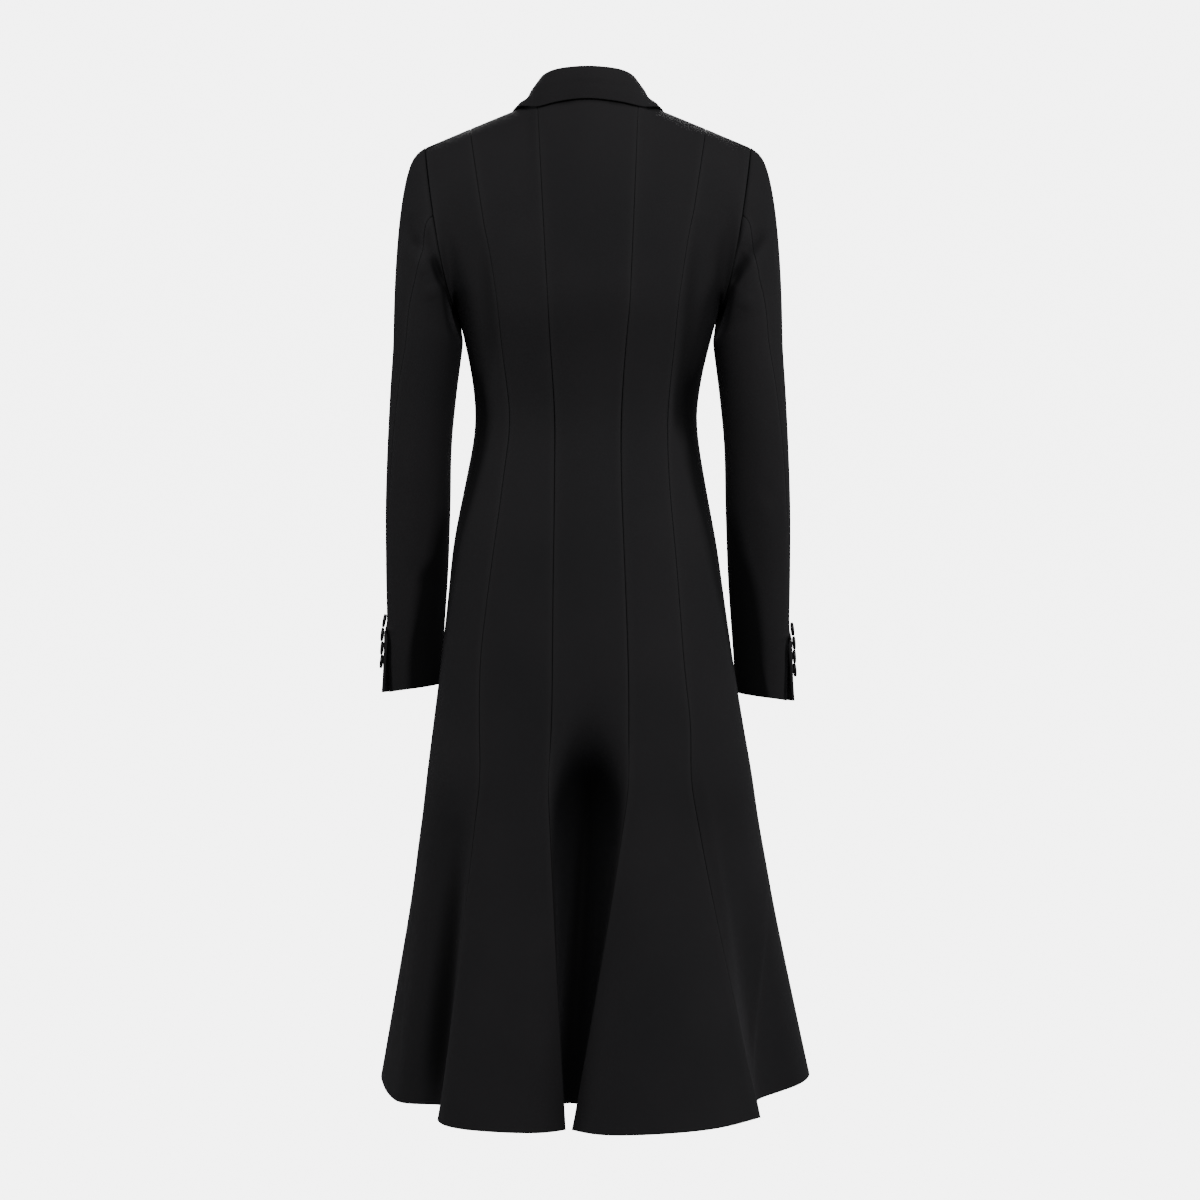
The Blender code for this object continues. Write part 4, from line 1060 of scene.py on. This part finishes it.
# Painted highlight beside the seams.
shade = mixed(tree, rising(tree, seam.outputs["Fac"], *SEAM_HIGHLIGHT_BAND), shade, WOOL_PAINTED_SEAM_HIGHLIGHT)
# Painted shade: the wool turns near black where the baked openness is low.
unshaded_share = rising(tree, opened.outputs["Fac"], *OPEN_BAND, interpolation_type="SMOOTHSTEP")
shade = mixed(tree, unshaded_share, WOOL_PAINTED_SHADE_AND_STITCH, shade)
shade = mixed(tree, rising(tree, seam.outputs["Fac"], *STITCHED_BAND), shade, WOOL_PAINTED_SHADE_AND_STITCH)
tree.links.new(shade, shader.inputs["Base Color"])
print("wool from", WOOL_DARK[0], "to", WOOL_LIGHT[0])

# %% [markdown]
# ## The buttons
# The coat has four touching buttons on each cuff and three larger ones down the front. They are moulded,
# dark and slightly glossy, with a raised rim, a shallow dish and four holes. A disc is inset twice for the
# rim and the dish, its rim is rounded, and the holes are drilled. One button is modelled at the size of a
# cuff button and copied to each place.

# %% Model one button
BUTTON_RADIUS = 0.0078
BUTTON_HEIGHT = 0.0028
BUTTON_SIDES = 48
RIM_WIDTH = 0.0016
RIM_HEIGHT = 0.0007
RIM_ROUND = 0.0006
DISH_WIDTH = 0.0012
DISH_DEPTH = 0.0002
FACING_UP = 0.9
SLACK = 1e-5

clear_selection()
bpy.ops.mesh.primitive_cylinder_add(
    vertices=BUTTON_SIDES, radius=BUTTON_RADIUS, depth=BUTTON_HEIGHT, location=(0, 0, BUTTON_HEIGHT / 2))
button = bpy.context.object
button.name = "button_pattern"
bpy.ops.object.transform_apply(location=True, rotation=True, scale=True)
edit(button)
pick(button, lambda face: face.normal.z > FACING_UP, "FACE")
for width, sink in ((RIM_WIDTH, RIM_HEIGHT), (DISH_WIDTH, DISH_DEPTH)):
    bpy.ops.mesh.inset(thickness=width)
    bpy.ops.transform.translate(value=(0, 0, -sink))
pick(button, lambda edge: all(abs(v.co.xy.length - BUTTON_RADIUS) < SLACK for v in edge.verts)
     and abs(edge.verts[0].co.z - edge.verts[1].co.z) < SLACK)
bpy.ops.mesh.bevel(offset=RIM_ROUND, segments=3, affect="EDGES")
bpy.ops.object.mode_set(mode="OBJECT")
print("faces before drilling:", len(button.data.polygons))

# %% Drill its four holes
HOLE_RADIUS = 0.00085
HOLE_FROM_MIDDLE = 0.0016
HOLE_SIDES = 16
DRILL_LENGTH = 0.01

for x in (-HOLE_FROM_MIDDLE, HOLE_FROM_MIDDLE):
    for y in (-HOLE_FROM_MIDDLE, HOLE_FROM_MIDDLE):
        clear_selection()
        bpy.ops.mesh.primitive_cylinder_add(
            vertices=HOLE_SIDES, radius=HOLE_RADIUS, depth=DRILL_LENGTH, location=(x, y, BUTTON_HEIGHT / 2))
        drill = bpy.context.object
        apply_modifier(button, "hole", "BOOLEAN", operation="DIFFERENCE", object=drill, solver="EXACT")
        bpy.data.objects.remove(drill)
print("button faces:", len(button.data.polygons))

# %% Its finish
BUTTON_DARK = (0.003, 0.003, 0.0035, 1.0)
BUTTON_LIGHT = (0.008, 0.0075, 0.008, 1.0)
CLOUD_SCALE = 160.0

moulded, tree, shader = new_material("dark_button")
place = node(tree, "ShaderNodeTexCoord")
cloud = node(
    tree, "ShaderNodeTexNoise", {"Vector": place.outputs["Object"], "Scale": CLOUD_SCALE, "Detail": 3.0})
tree.links.new(mixed(tree, cloud.outputs["Fac"], BUTTON_DARK, BUTTON_LIGHT), shader.inputs["Base Color"])
shader.inputs["Roughness"].default_value = 0.46
shader.inputs["Specular IOR Level"].default_value = 0.22
button.data.materials.append(moulded)
print("button from", BUTTON_DARK[0], "to", BUTTON_LIGHT[0])

# %% Find which way each packed button faces
FIRST_STEP, SECOND_STEP = 3, 5
WIDE_ENOUGH = 0.4


def flat_axis(points, centre, out):
    """The way out through a button, which is the one that it is flattest along."""
    radius = max((point - centre).length for point in points)
    best = None
    for a in range(0, len(points), FIRST_STEP):
        for b in range(1, len(points), SECOND_STEP):
            axis = (points[a] - centre).cross(points[b] - centre)
            if axis.length > radius * radius * WIDE_ENOUGH:
                axis.normalize()
                if axis.dot(out) < 0:
                    axis = -axis
                height = max(abs((point - centre).dot(axis)) for point in points)
                if best is None or height < best[0]:
                    best = (height, axis)
    return best[1]


BUTTONS = tuple(name for name in sorted(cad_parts) if "button" in name)
button_places = {}
for name in BUTTONS:
    points = [vertex.co.copy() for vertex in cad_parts[name].data.vertices]
    centre = sum(points, Vector()) / len(points)
    if name.startswith("cuff"):
        middle = sleeve_middle(name.split("_")[2], centre.z)
        out = Vector((centre.x - middle.x, centre.y - middle.y, 0)).normalized()
    else:
        out = Vector((0, 1, 0))
    button_places[name] = (points, centre, flat_axis(points, centre, out))
print("buttons found:", len(button_places))

# %% Copy the moulded button to each place
for name, (points, centre, axis) in button_places.items():
    lowest = min((point - centre).dot(axis) for point in points)
    wide = max(((point - centre) - axis * (point - centre).dot(axis)).length for point in points)
    copy = bpy.data.objects.new(name + "_moulded", button.data.copy())
    bpy.context.scene.collection.objects.link(copy)
    scale = wide / BUTTON_RADIUS
    turn = Vector((0, 0, 1)).rotation_difference(axis)
    for vertex in copy.data.vertices:
        vertex.co = centre + axis * lowest + turn @ (vertex.co * scale)
    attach(copy, "root")
    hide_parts(name)
bpy.data.objects.remove(button)
print("buttons placed:", len(button_places))

# %% [markdown]
# ## Handing the pieces over
# Each cloth sheet takes the place of its plain panel and wears the wool.

# %% Dress the coat
for panel, sheet in sheets.items():
    width, length, area = patterns[panel]
    sheet.data.materials.append(wool)
    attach(sheet, "root")
    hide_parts(panel)
print("panels dressed:", len(sheets))

# %% [markdown]
# ## The last step
# The scene is brought up to date before it is closed.

# %% Finish
bpy.context.view_layer.update()
